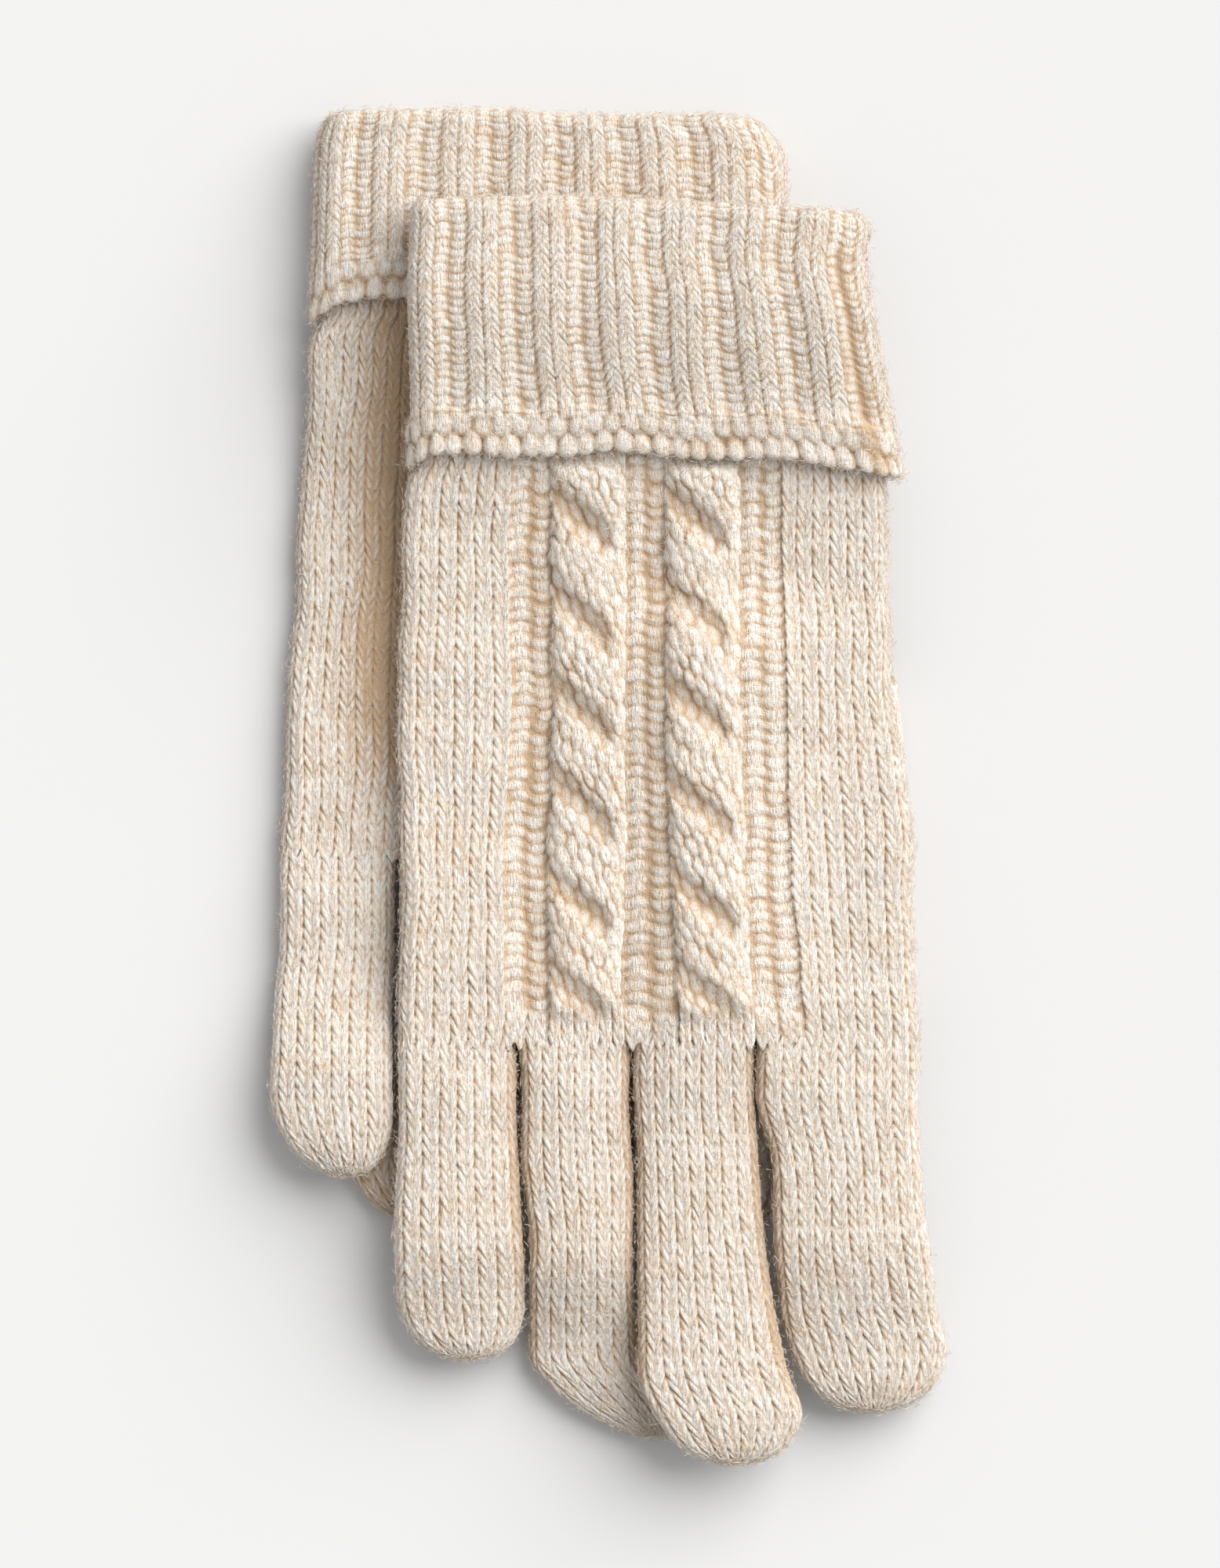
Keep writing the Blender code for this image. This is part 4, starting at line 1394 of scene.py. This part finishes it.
@dataclass
class Cuff(Tube):
    """A turned-up cuff of two-and-two rib with a beaded cast-on edge.

    Attributes:
        form: its outline.
        pitch: height of a course.
        ribs_below: whether its underside is ribbed too.
        rib_depth: how deep the furrows between the ribs are.
        crease: how much deeper the furrow at the crease is, where the turned-up part is folded, which
            also sets its painted shade.
        crease_at: the crease's wale.
        left_mark: wale number at the left side.
        flat_from: wale number where the top's flat part starts.
        flat_to: wale number where it ends.
        right_mark: wale number at the right side.
        beaded: length of the beaded edge before the cloth turns at the hem.
        second_row: length of the second row of beads before that.
    """

    form: CuffForm = UPPER_CUFF
    pitch: float = 1.55
    ribs_below: bool = True
    rib_depth: float = 0.95
    crease: float = 0.0
    crease_at: float = 27.0
    left_mark: float = -0.94
    flat_from: float = 2.375
    flat_to: float = 26.4
    right_mark: float = 29.7
    beaded: float = 6.4
    second_row: float = 2.8
    sway: float = 0.28

    def __post_init__(self) -> None:
        """Works out the lengths along the cuff's section, from the mouth round to the slit."""
        self.fold_y = float(np.mean([point.y for point in self.form.fold]))
        self.hem_y = float(np.mean([point.y for point in self.form.hem]))
        self.length = self.fold_y - self.hem_y
        self.fold_radius = 0.5 * (CUFF_HALF - MOUTH)
        self.fold_run = np.pi * self.fold_radius
        self.straight = self.length - self.fold_radius - HEM_RADIUS
        self.turn_at = self.fold_run + self.straight

    def courses(self) -> float:
        """How many courses the outside has."""
        return (self.turn_at + np.pi * HEM_RADIUS) / self.pitch

    def profile(self, run: Array) -> tuple[Array, Array]:
        """Distance from the fold and half thickness, at a length along the section.

        Half a circle round the fold, a straight run down to the hem and half a circle round the hem.

        Args:
            run: lengths along the section, from the mouth.

        Returns:
            Distances from the fold, and half thicknesses there.
        """
        turn = np.clip(run / self.fold_radius, 0.0, np.pi)
        flat = np.clip(run - self.fold_run, 0.0, self.straight)
        back = np.clip((run - self.fold_run - self.straight) / HEM_RADIUS, 0.0, np.pi)
        along = self.fold_radius * (1.0 - np.sin(turn)) + flat + HEM_RADIUS * np.sin(back)
        half = MOUTH + self.fold_radius - self.fold_radius * np.cos(turn)
        return along, half - HEM_RADIUS * (1.0 - np.cos(back))

    def points(self, w: Array, along: Array, half: Array, outer: Array | float) -> Array:
        """Points of the cuff at distances from its fold and half thicknesses.

        Args:
            w: wale coordinates.
            along: distances from the fold.
            half: half thicknesses.
            outer: 1 on the turned-up layer and 0 on the one inside it.

        Returns:
            The points.
        """
        y = self.fold_y - along
        left = column(self.form.edges, "y", "left", y) + (CUFF_HALF - half)
        right = column(self.form.edges, "y", "right", y) - (CUFF_HALF - half)
        bend = 0.5 * np.pi * half
        length = right - left - 2.0 * half + 2.0 * bend
        a, _ = spread(w, self.around(), (
            (self.left_mark, 0.0 * y),
            (self.flat_from, bend / length),
            (self.flat_to, 1.0 - bend / length),
            (self.right_mark, 1.0 + 0.0 * y),
            (self.left_mark + self.around(), 2.0 + 0.0 * y),
        ))
        x, height = flattened(a, left, right, half)
        share = along / self.length
        fold = column(self.form.fold, "x", "y", x) - self.fold_y
        hem = column(self.form.hem, "x", "y", x) - self.hem_y
        inner = 1.0 - np.clip(along / (self.fold_y - self.form.join), 0.0, 1.0)
        wave = outer * ((1.0 - share) * fold + share * hem) + (1.0 - outer) * inner * fold
        return np.stack([x, y + wave, self.bed(x, y) + HAND_HALF + height], axis=-1)

    def outside(self, w: Array, r: Array) -> Array:
        """Points of the smooth outer surface.

        Args:
            w: wale coordinates.
            r: course coordinates.

        Returns:
            The points.
        """
        run = r * self.pitch
        points = self.points(w, *self.profile(run), ease(run / self.fold_run))
        calm = ease((run - 0.5 * self.fold_run) / 6.0) * ease(points[..., 2] / 6.0)
        points[..., 0] += self.sway * self.waver(points[..., 0], points[..., 1], 0) * calm
        return points

    def edging(self, grid: Grid, height: Array, depth: Array) -> tuple[Array, Array]:
        """Rounds the two rows of beads of the cast-on edge, each a dome over one wale.

        Args:
            grid: the piece's columns and rows.
            height: the stitches' heights.
            depth: the depths that they scale with.

        Returns:
            The changed heights and depths.
        """
        run = grid.r[:, None] * self.pitch
        bead_from, second_row = self.turn_at - self.beaded, self.turn_at - self.second_row
        bead = ease((run - bead_from) / 1.2)
        row = np.where(run < second_row, (run - bead_from) / 3.6, 1.0 + (run - second_row) / 5.4)
        places = row + 0.0 * grid.w[None, :], grid.w[None, :] / 1.05 + 0.0 * run
        dome = drops(*places, BEAD_REACH, chances(self.knitting.seed + 7))
        deeper = 0.75 + 0.5 * ease((run - second_row) / 0.8)
        return height * (1.0 - bead) + 1.06 * dome * bead, depth * (1.0 - bead) + deeper * bead

    def furrow(self, w: Array) -> Array:
        """A raised cosine over the two purl wales of each rib and half a wale beyond them."""
        return 0.5 - 0.5 * np.cos(0.5 * np.pi * np.mod(w - 1.0, 4.0))

    def folded(self, w: Array, run: Array, wide: float) -> Array:
        """How deep the crease is, which starts softly past the fold."""
        across = np.exp(-(((w - self.crease_at) / wide) ** 2))
        return self.crease * across * ease((run - self.fold_run) / 8.0)

    def extra_relief(self, grid: Grid, height: Array, depth: Array) -> tuple[Array, Array]:
        """Sinks the purl furrows between the ribs, and the crease.

        Args:
            grid: the piece's columns and rows.
            height: the stitches' heights.
            depth: the depths that they scale with.

        Returns:
            The changed heights, and the depths.
        """
        w, run = grid.w[None, :], grid.r[:, None] * self.pitch
        shown = ease((run - 0.42 * self.fold_run) / 5.0) * ease((self.turn_at - self.beaded - run) / 3.0)
        top = (w < self.right_mark) | self.ribs_below
        sunk = (self.rib_depth * self.furrow(w) ** 1.3 + self.folded(w, run, 0.75)) * shown * top
        return height - sunk / np.maximum(depth, 0.3), depth

    def leaning(self, r: Array) -> Array:
        """How much of their lean the stitches of a course have: none in the cast-on edge's beads."""
        return super().leaning(r) * ease((self.turn_at - 6.0 - r * self.pitch) / 2.5)

    def shade_paint(self, w: Array, r: Array) -> Array:
        """Painted shade in the furrows between the ribs and in the crease, which lie deep."""
        return 0.04 * self.furrow(w) ** 1.5 + 0.5 * self.folded(w, r * self.pitch, 0.6)

    def inside(self, w: Array) -> list[Array]:
        """Rings from the slit up to the fold, down to the hand's end and up the mouth.

        Args:
            w: wale coordinates.

        Returns:
            The rings.
        """
        fold, join = self.fold_radius, self.fold_y - self.form.join
        rings = []
        for start, end, count, half, outer in (
            (self.length - HEM_RADIUS - 0.5, fold, 8, HAND_HALF + SLIT, 1.0),
            (fold, join, 7, HAND_HALF, 0.0),
            (join, fold + 0.4, 7, MOUTH, 0.0),
        ):
            for along in np.linspace(start, end, count):
                rings.append(self.points(w, along + 0.0 * w, half + 0.0 * w, outer))
        return rings

    def flat_size(self) -> tuple[float, float]:
        """Width all round and length of the cloth, both layers long, in metres."""
        length = self.courses() * self.pitch + self.fold_y - self.form.join - self.fold_radius
        return tape(self.form.edges, CUFF_HALF, 0.5 * (CUFF_HALF + HAND_HALF)), length * MM


@dataclass
class Finger(Tube):
    """A finger or thumb: a tube that is open at its seam and closed in a round tip.

    Attributes:
        form: its outline.
        pitch: height of a course.
        lap: how far its first course reaches under the last one of the hand.
        plump: how far the cloth's sides stand over the solid's.
        shaded: painted shade on its left and right sides, where they lie beside the next finger.
        deep: painted shadow over all of it, as it lies low in the shade of other fingers, for its colour.
        round_tip: length of the tip's outer line, as a share of its reach.
    """

    form: FingerForm = UPPER_THUMB
    pitch: float = 2.25
    lap: float = 1.2
    plump: float = 0.12
    shaded: tuple[float, float] = (0.0, 0.0)
    deep: float = 0.0
    round_tip: float = 1.32

    def __post_init__(self) -> None:
        """Works out the lengths along the finger."""
        self.base = self.form.seam + self.lap
        self.straight = self.base - self.form.start
        self.reach = self.form.start - self.form.tip
        self.cap = self.round_tip * self.reach
        self.wall = min(WALL, self.form.half - THIN_GAP)

    def courses(self) -> float:
        """How many courses the outside has, up to just short of the pole."""
        return (self.straight + 0.985 * self.cap) / self.pitch

    def leaning(self, r: Array) -> Array:
        """How much of their lean the stitches of a course have: less towards the tip."""
        return 0.25 + 0.75 * np.clip((r[-1] - r) / 1.5, 0.0, 1.0)

    def shade_paint(self, w: Array, r: Array) -> Array:
        """Painted shade on the sides that face another finger, except towards the tip, over a painted
        shadow on all of a finger that lies low.

        Args:
            w: wale coordinates.
            r: course coordinates.

        Returns:
            How much deeper than its stitches each place lies.
        """
        left = np.exp(-((np.minimum(w, self.around() - w) / 0.95) ** 2))
        right = np.exp(-(((w - 0.5 * self.around()) / 0.95) ** 2))
        shown = ease((self.courses() - r - 3.0) / 9.0)
        return self.deep + (self.shaded[0] * left + self.shaded[1] * right) * shown

    def ring(self, w: Array, y: Array, narrowing: Array, wall: float) -> Array:
        """Points round the finger.

        Args:
            w: wale coordinates.
            y: places along.
            narrowing: how much of its width the tip still has.
            wall: how far inside the outline.

        Returns:
            The points.
        """
        form = self.form
        base_half = min(HAND_HALF, form.half)
        filled = ease((self.base - y) / FILL_LENGTH)
        late = ease((self.base - y) / (self.base - form.start))
        half = base_half + (form.half - base_half) * filled + (form.end_half - form.half) * late
        left, right = (column(form.edges, "y", side, y) for side in ("left", "right"))
        middle, reach = 0.5 * (left + right), 0.5 * (right - left) - wall
        thin = (half - max(wall, 0.0)) * narrowing**TIP_THICKNESS
        a = np.mod(w / (0.5 * self.around()), 2.0)
        x, height = flattened(a, middle - reach * narrowing, middle + reach * narrowing, thin)
        share = np.clip((x - middle) / np.maximum(reach * narrowing - thin, 1e-6), -1.0, 1.0)
        height = height + np.where(a < 1.0, form.crown * filled * (1.0 - share**2) * narrowing, 0.0)
        fall = form.fall * ease((form.fall_from - y) / (form.fall_from - form.fall_to))
        return np.stack([x, y + 0.0 * x, self.bed(x, y) + half + height - fall], axis=-1)

    def outside(self, w: Array, r: Array) -> Array:
        """Points of the smooth outer surface: straight down the finger, then a quarter turn.

        Args:
            w: wale coordinates.
            r: course coordinates.

        Returns:
            The points.
        """
        run = r * self.pitch
        turn = self.turn(run)
        y = np.where(run < self.straight, self.base - run, self.form.start - self.reach * np.sin(turn))
        narrowing = np.maximum(np.cos(turn), 1e-4) ** TIP_WIDTH
        points = self.ring(w, y, narrowing, -self.plump)
        calm = ease((self.base - 2.0 - y) / 8.0) * narrowing * ease(points[..., 2] / 5.0)
        points[..., 0] += self.sway * self.waver(points[..., 0], y, 0) * calm
        return points

    def turn(self, run: Array) -> Array:
        """How far round the tip a length along the finger is: 0 to a quarter turn."""
        return np.clip((run - self.straight) / self.cap, 0.0, 1.0) * 0.5 * np.pi

    def extra_relief(self, grid: Grid, height: Array, depth: Array) -> tuple[Array, Array]:
        """Flattens the stitches towards the pole."""
        return height, depth * np.clip(np.cos(self.turn(grid.r * self.pitch))[:, None] * 2.2, 0.12, 1.0)

    def inside(self, w: Array) -> list[Array]:
        """Rings of the plain inner surface, from the tip back to the seam.

        Args:
            w: wale coordinates.

        Returns:
            The rings.
        """
        turns = np.radians((78.0, 55.0, 30.0))
        places = [(self.form.start - (self.reach - self.wall) * np.sin(turn), np.cos(turn) ** TIP_WIDTH)
                  for turn in turns]
        places += [(y, 1.0) for y in np.linspace(self.form.start, self.base, 6)]
        return [self.ring(w, y + 0.0 * w, narrowing + 0.0 * w, self.wall) for y, narrowing in places]

    def tip(self) -> tuple[Array, Array]:
        """The poles of the tip: the middles of two very small rings.

        Returns:
            The outer and inner poles.
        """
        w = np.linspace(0.0, self.around(), 33)[:-1]
        ends = ((self.form.tip + 0.02, 0.0), (self.form.tip + self.wall, self.wall))
        outer, inner = (self.ring(w, y + 0.0 * w, 1e-3 + 0.0 * w, wall).mean(axis=0) for y, wall in ends)
        return outer, inner

    def flat_size(self) -> tuple[float, float]:
        """Width all round and length of the cloth, in metres."""
        return tape(self.form.edges, self.form.half), (self.straight + self.reach) * MM


@dataclass
class Hairs:
    """Loose hairs of the yarn that stand off a set of pieces, joined into one piece.

    Each hair is a thin closed spindle with three sides: it starts in the yarn, bows outwards and
    comes down again or ends free.

    Attributes:
        name: the piece's name.
        material: its finish.
        count: how many hairs.
        seed: which set of hairs.
        shortest: least length.
        longest: greatest length.
        width: greatest thickness.
        at_sides: share of them that grows on the outlines, where they show as fuzz.
    """

    name: str
    material: bpy.types.Material
    count: int
    seed: int
    shortest: float = 0.8
    longest: float = 3.4
    width: float = 0.095
    at_sides: float = 0.42

    def roots(self, tubes: Sequence[Tube], shares: Sequence[float],
              rng: np.random.Generator) -> tuple[Array, Array]:
        """Chooses where the hairs grow.

        Args:
            tubes: the pieces that they grow on, already built.
            shares: how much of the hairs each piece gets.
            rng: the chance numbers.

        Returns:
            The hairs' roots and the surface's normals there.
        """
        roots, normals = [], []
        for tube, share in zip(tubes, shares):
            facing, crest = tube.crest_normal[..., 2].ravel(), tube.crest_height.ravel() > 0.45
            tops = np.flatnonzero((facing > 0.5) & crest)
            sides = np.flatnonzero((facing > -0.15) & (facing < 0.5) & crest)
            few = int(self.count * share / float(sum(shares)))
            at_sides = int(self.at_sides * few)
            picked = np.concatenate([rng.choice(tops, few - at_sides), rng.choice(sides, at_sides)])
            roots.append(tube.crest.reshape(-1, 3)[picked])
            normals.append(tube.crest_normal.reshape(-1, 3)[picked])
        return np.concatenate(roots), np.concatenate(normals)

    def build(self, tubes: Sequence[Tube], shares: Sequence[float]) -> bpy.types.Object:
        """Grows the hairs.

        Args:
            tubes: the pieces that they grow on, already built.
            shares: how much of the hairs each piece gets.

        Returns:
            The joined hairs.
        """
        rng = np.random.default_rng(self.seed)
        root, normal = self.roots(tubes, shares, rng)
        n = len(root)
        root = root + rng.normal(0.0, 0.15, (n, 3)) - 0.15 * normal
        side = unit(np.cross(normal, rng.normal(0.0, 1.0, (n, 3))))
        other = np.cross(normal, side)
        length = rng.uniform(self.shortest, self.longest, n)
        lift = rng.uniform(0.10, 0.55, n) * np.where(rng.random(n) < 0.12, 2.2, 1.0)
        bow = rng.normal(0.0, 0.28, n)
        end_lift = lift * rng.uniform(-0.4, 1.2, n)
        line = []
        for t in (0.0, 0.5, 1.0):
            on = (length * t)[:, None]
            aside = (bow * length * np.sin(np.pi * t))[:, None]
            out = (lift * np.sin(np.pi * min(t * 1.1, 1.0)) + end_lift * t**2) * (0.4 + 0.25 * length)
            line.append(root + on * side + aside * other + out[:, None] * normal)
        spots = np.stack(line, axis=1)
        spots[..., 2] = np.maximum(spots[..., 2], 0.1)
        axis = unit(spots[:, 2] - spots[:, 0])
        wide = unit(np.cross(axis, normal))
        tall = np.cross(axis, wide)
        thick = 0.5 * self.width * rng.uniform(0.6, 1.3, n)
        ring = [spots[:, 1] + thick[:, None] * (np.cos(turn) * wide + np.sin(turn) * tall)
                for turn in (0.0, 2.0 * np.pi / 3.0, 4.0 * np.pi / 3.0)]
        points = np.stack([spots[:, 0], *ring, spots[:, 2]], axis=1).reshape(-1, 3)
        pattern = np.array([(0, 2, 1), (0, 3, 2), (0, 1, 3), (1, 2, 4), (2, 3, 4), (3, 1, 4)])
        faces = (pattern[None] + 5 * np.arange(n)[:, None, None]).reshape(-1, 3)
        piece = build_mesh(self.name, points, faces.ravel(), np.full(len(faces), 3), self.material)
        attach(piece, "root")
        log.info("%s: %d triangles", self.name, len(faces))
        return piece


# ---------------------------------------------------------------- the pair


def rib(count: int, fine_to: int, knit: tuple[float, ...], purl: tuple[float, ...]) -> list[Wales]:
    """Two-and-two rib round a tube: two knit wales, two purl wales, fine on its top.

    Args:
        count: how many wales go round.
        fine_to: the wale up to which they are fine.
        knit: where a fine knit wale's columns are.
        purl: where a fine purl wale's columns are.

    Returns:
        The runs of wales.
    """
    runs = []
    for first in range(0, count, 4):
        fine = first <= fine_to or first >= count - 4
        runs.append(Wales(first, first + 2, Stitch.KNIT, knit if fine else KNIT_COARSE))
        runs.append(Wales(first + 2, first + 4, Stitch.PURL, purl if fine else PURL_COARSE))
    return runs


def finger_wales(top: int, fine: tuple[float, ...]) -> list[Wales]:
    """A finger's wales: as many as its top shows, and as many coarse ones below."""
    return [Wales(0, top, Stitch.KNIT, fine), Wales(top, 2 * top, Stitch.KNIT, KNIT_COARSE)]


def runs_of(*runs: tuple[int, Stitch, tuple[float, ...]]) -> list[Wales]:
    """Runs of wales, one after the other, each given by how many there are.

    Args:
        runs: the number of wales, what they show, and where each one's columns are.

    Returns:
        The runs of wales.
    """
    made, first = [], 0
    for count, stitch, places in runs:
        made.append(Wales(first, first + count, stitch, places))
        first += count
    return made


@dataclass
class Glove:
    """One glove: cuff, hand, fingers and thumb."""

    wool: bpy.types.Material
    tubes: list[Tube] = field(default_factory=list)

    def thumb(self, name: str, seed: int, form: FingerForm, height: float) -> Finger:
        """A thumb, which is hidden, so that its stitches are coarse.

        Args:
            name: its name.
            seed: which set of uneven stitches.
            form: its outline.
            height: how high it lies.

        Returns:
            The thumb.
        """
        return Finger(name, self.wool, Knitting(seed=seed), finger_wales(6, KNIT_COARSE), COURSE_COARSE,
                      form=form, bed=lambda x, y: height + 0.0 * x, pitch=2.3, rests_on=("lower_hand",))

    def knit(self) -> None:
        """Builds every piece of the glove."""
        for tube in self.tubes:
            tube.build()


@dataclass
class UpperGlove(Glove):
    """The glove on top, its cabled back up."""

    def __post_init__(self) -> None:
        """Lists its pieces."""
        purl, cable = (2, Stitch.PURL, PURL_FINE), (CABLE_WALES, Stitch.CABLE, CABLE_FINE)
        back = runs_of((7, Stitch.KNIT, KNIT_FINE), purl, cable, purl, cable, purl,
                       (8, Stitch.KNIT, KNIT_FINE), (31, Stitch.KNIT, KNIT_HIDDEN))
        ribbed = Knitting(knit_depth=0.66, purl_depth=0.56, uneven=0.08, seed=11, point_up=True)
        self.tubes = [
            Cuff("upper_cuff", self.wool, ribbed, rib(60, 28, KNIT_FINE, PURL_FINE), form=UPPER_CUFF,
                 crease=1.3, waver=Waver(8), rests_on=("lower_cuff", "lower_hand"), held="folded"),
            Hand("upper_hand", self.wool, Knitting(seed=12, cable_firsts=(9, 17)), back, edges=UPPER_HAND,
                 cabled=True, waver=Waver(3), rests_on=("lower_hand", "upper_thumb", "lower_thumb")),
        ]
        tops_and_pitches = ((8, 2.235), (8, 2.26), (9, 2.29), (10, 2.37))
        for number, (form, (top, pitch)) in enumerate(zip(UPPER_FINGERS, tops_and_pitches)):
            # Painted shade on the sides of each finger that face the next one.
            self.tubes.append(Finger(
                "upper_" + form.name, self.wool, Knitting(seed=20 + number), finger_wales(top, KNIT_FINE),
                form=form, pitch=pitch, waver=Waver(40 + number), rests_on=("lower_middle_finger",),
                shaded=(0.9 * (number > 0), 0.9 * (number < 3))))
        self.tubes.append(self.thumb("upper_thumb", 30, UPPER_THUMB, UPPER_THUMB_BED))


@dataclass
class LowerGlove(Glove):
    """The glove below, its plain palm up."""

    def __post_init__(self) -> None:
        """Lists its pieces."""
        ribbed = Knitting(knit_depth=0.64, purl_depth=0.56, uneven=0.08, seed=51, point_up=True)
        palm = runs_of((10, Stitch.KNIT, KNIT_FINE), (54, Stitch.KNIT, KNIT_HIDDEN))
        self.tubes = [
            Cuff("lower_cuff", self.wool, ribbed, rib(60, 28, KNIT_SMALL, PURL_SMALL), form=LOWER_CUFF,
                 bed=lower_bed, pitch=1.43, ribs_below=False, held="folded", waver=Waver(9)),
            # shaded paints the upper glove's shadow onto the lower hand.
            Hand("lower_hand", self.wool, Knitting(seed=52), palm, COURSE_MIDDLING, edges=LOWER_HAND,
                 top=96.7, seam=LOWER_SEAM, bed=lower_bed, pitch=2.08, left_mark=0.3, right_mark=32.3,
                 shaded=0.95, waver=Waver(10)),
        ]
        wales = (8, KNIT_FINE), (8, KNIT_SMALL), (8, KNIT_COARSE), (10, KNIT_COARSE)
        for number, (form, (top, fine)) in enumerate(zip(LOWER_FINGERS, wales)):
            little, ring = form.name == "little_finger", form.name == "ring_finger"
            # The lower ring finger is painted in shadow all over, where it lies low under the others.
            self.tubes.append(Finger(
                "lower_" + form.name, self.wool, Knitting(seed=60 + number), finger_wales(top, fine),
                COURSE_PLACES if little or ring else COURSE_COARSE, form=form, pitch=2.15,
                bed=lower_little_bed if little else lower_bed, deep=0.4 * ring, waver=Waver(70 + number)))
        self.tubes.append(self.thumb("lower_thumb", 66, LOWER_THUMB, LOWER_THUMB_BED))


@dataclass
class Studio:
    """White table, soft light from the upper right and a camera straight above.

    Attributes:
        frame_height: what the picture shows from top to bottom, in millimetres.
        distance: from the camera to the gloves, in metres.
        middle: what the camera stands over, in millimetres.
        level: the height that the frame's size is taken at, in millimetres.
        key: strength of the sun.
        key_width: how wide the sun is, in degrees, which softens its shadows.
        key_height: how high it stands, in degrees.
        key_turn: where it stands, in degrees from the right towards the top of the picture.
        surround: brightness of the surround.
        white: the table's colour.
        sensor: width of the camera's sensor, in its own millimetres.
    """

    frame_height: float = 294.1
    distance: float = 2.5
    middle: tuple[float, float] = (0.49, 0.2)
    level: float = 12.0
    key: float = 4.05
    key_width: float = 60.0
    key_height: float = 40.0
    key_turn: float = 42.0
    surround: float = 0.565
    white: Colour = (0.649, 0.649, 0.652)
    sensor: float = 36.0

    def table(self) -> None:
        """A flat white table with a soft, even finish, a little below the gloves."""
        bpy.ops.mesh.primitive_plane_add(size=6.0, location=(0.0, 0.0, -0.0001))
        table = bpy.context.object
        table.name = "table"
        colour = (*self.white, 1.0)
        finish = Shading("white_table", Base_Color=colour, Roughness=0.9, Specular_IOR_Level=0.1)
        table.data.materials.append(finish.material)

    def light(self) -> None:
        """A wide soft sun from the upper right, and an even white surround."""
        data = bpy.data.lights.new("key", "SUN")
        data.energy, data.angle, data.color = self.key, np.radians(self.key_width), (1.0, 0.99, 0.975)
        lamp = bpy.data.objects.new("key", data)
        lamp.rotation_euler = (0.0, np.radians(90.0 - self.key_height), np.radians(self.key_turn))
        scene = bpy.context.scene
        scene.collection.objects.link(lamp)
        world = bpy.data.worlds.new("surround")
        world.use_nodes = True
        background = world.node_tree.nodes["Background"].inputs
        background["Color"].default_value = (1.0, 1.0, 1.0, 1.0)
        background["Strength"].default_value = self.surround
        scene.world = world
        scene.view_settings.view_transform = "Standard"
        scene.view_settings.look = "None"

    def camera(self) -> None:
        """A long lens straight above, the fingers towards the bottom of the picture."""
        data = bpy.data.cameras.new("camera")
        data.sensor_width = self.sensor
        data.lens = self.sensor * self.distance / (self.frame_height * MM)
        data.clip_end = 20.0
        camera = bpy.data.objects.new("camera", data)
        camera.location = (self.middle[0] * MM, self.middle[1] * MM, self.distance + self.level * MM)
        bpy.context.scene.collection.objects.link(camera)
        bpy.context.scene.camera = camera


def main() -> None:
    """Builds the pair and the studio."""
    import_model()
    wool = MarledWool().material("marled_wool")
    upper, lower = UpperGlove(wool), LowerGlove(wool)
    lower.knit()
    upper.knit()
    hair = LooseHair().material("loose_hair")
    Hairs("hairs_upper", hair, 22000, 5).build(upper.tubes[:6], (3.0, 4.6, 0.9, 0.9, 1.1, 1.2))
    Hairs("hairs_lower", hair, 8500, 6).build(lower.tubes[:4], (3.0, 2.2, 0.8, 0.3))
    studio = Studio()
    studio.table()
    studio.light()
    studio.camera()


if __name__ == "__main__":
    main()
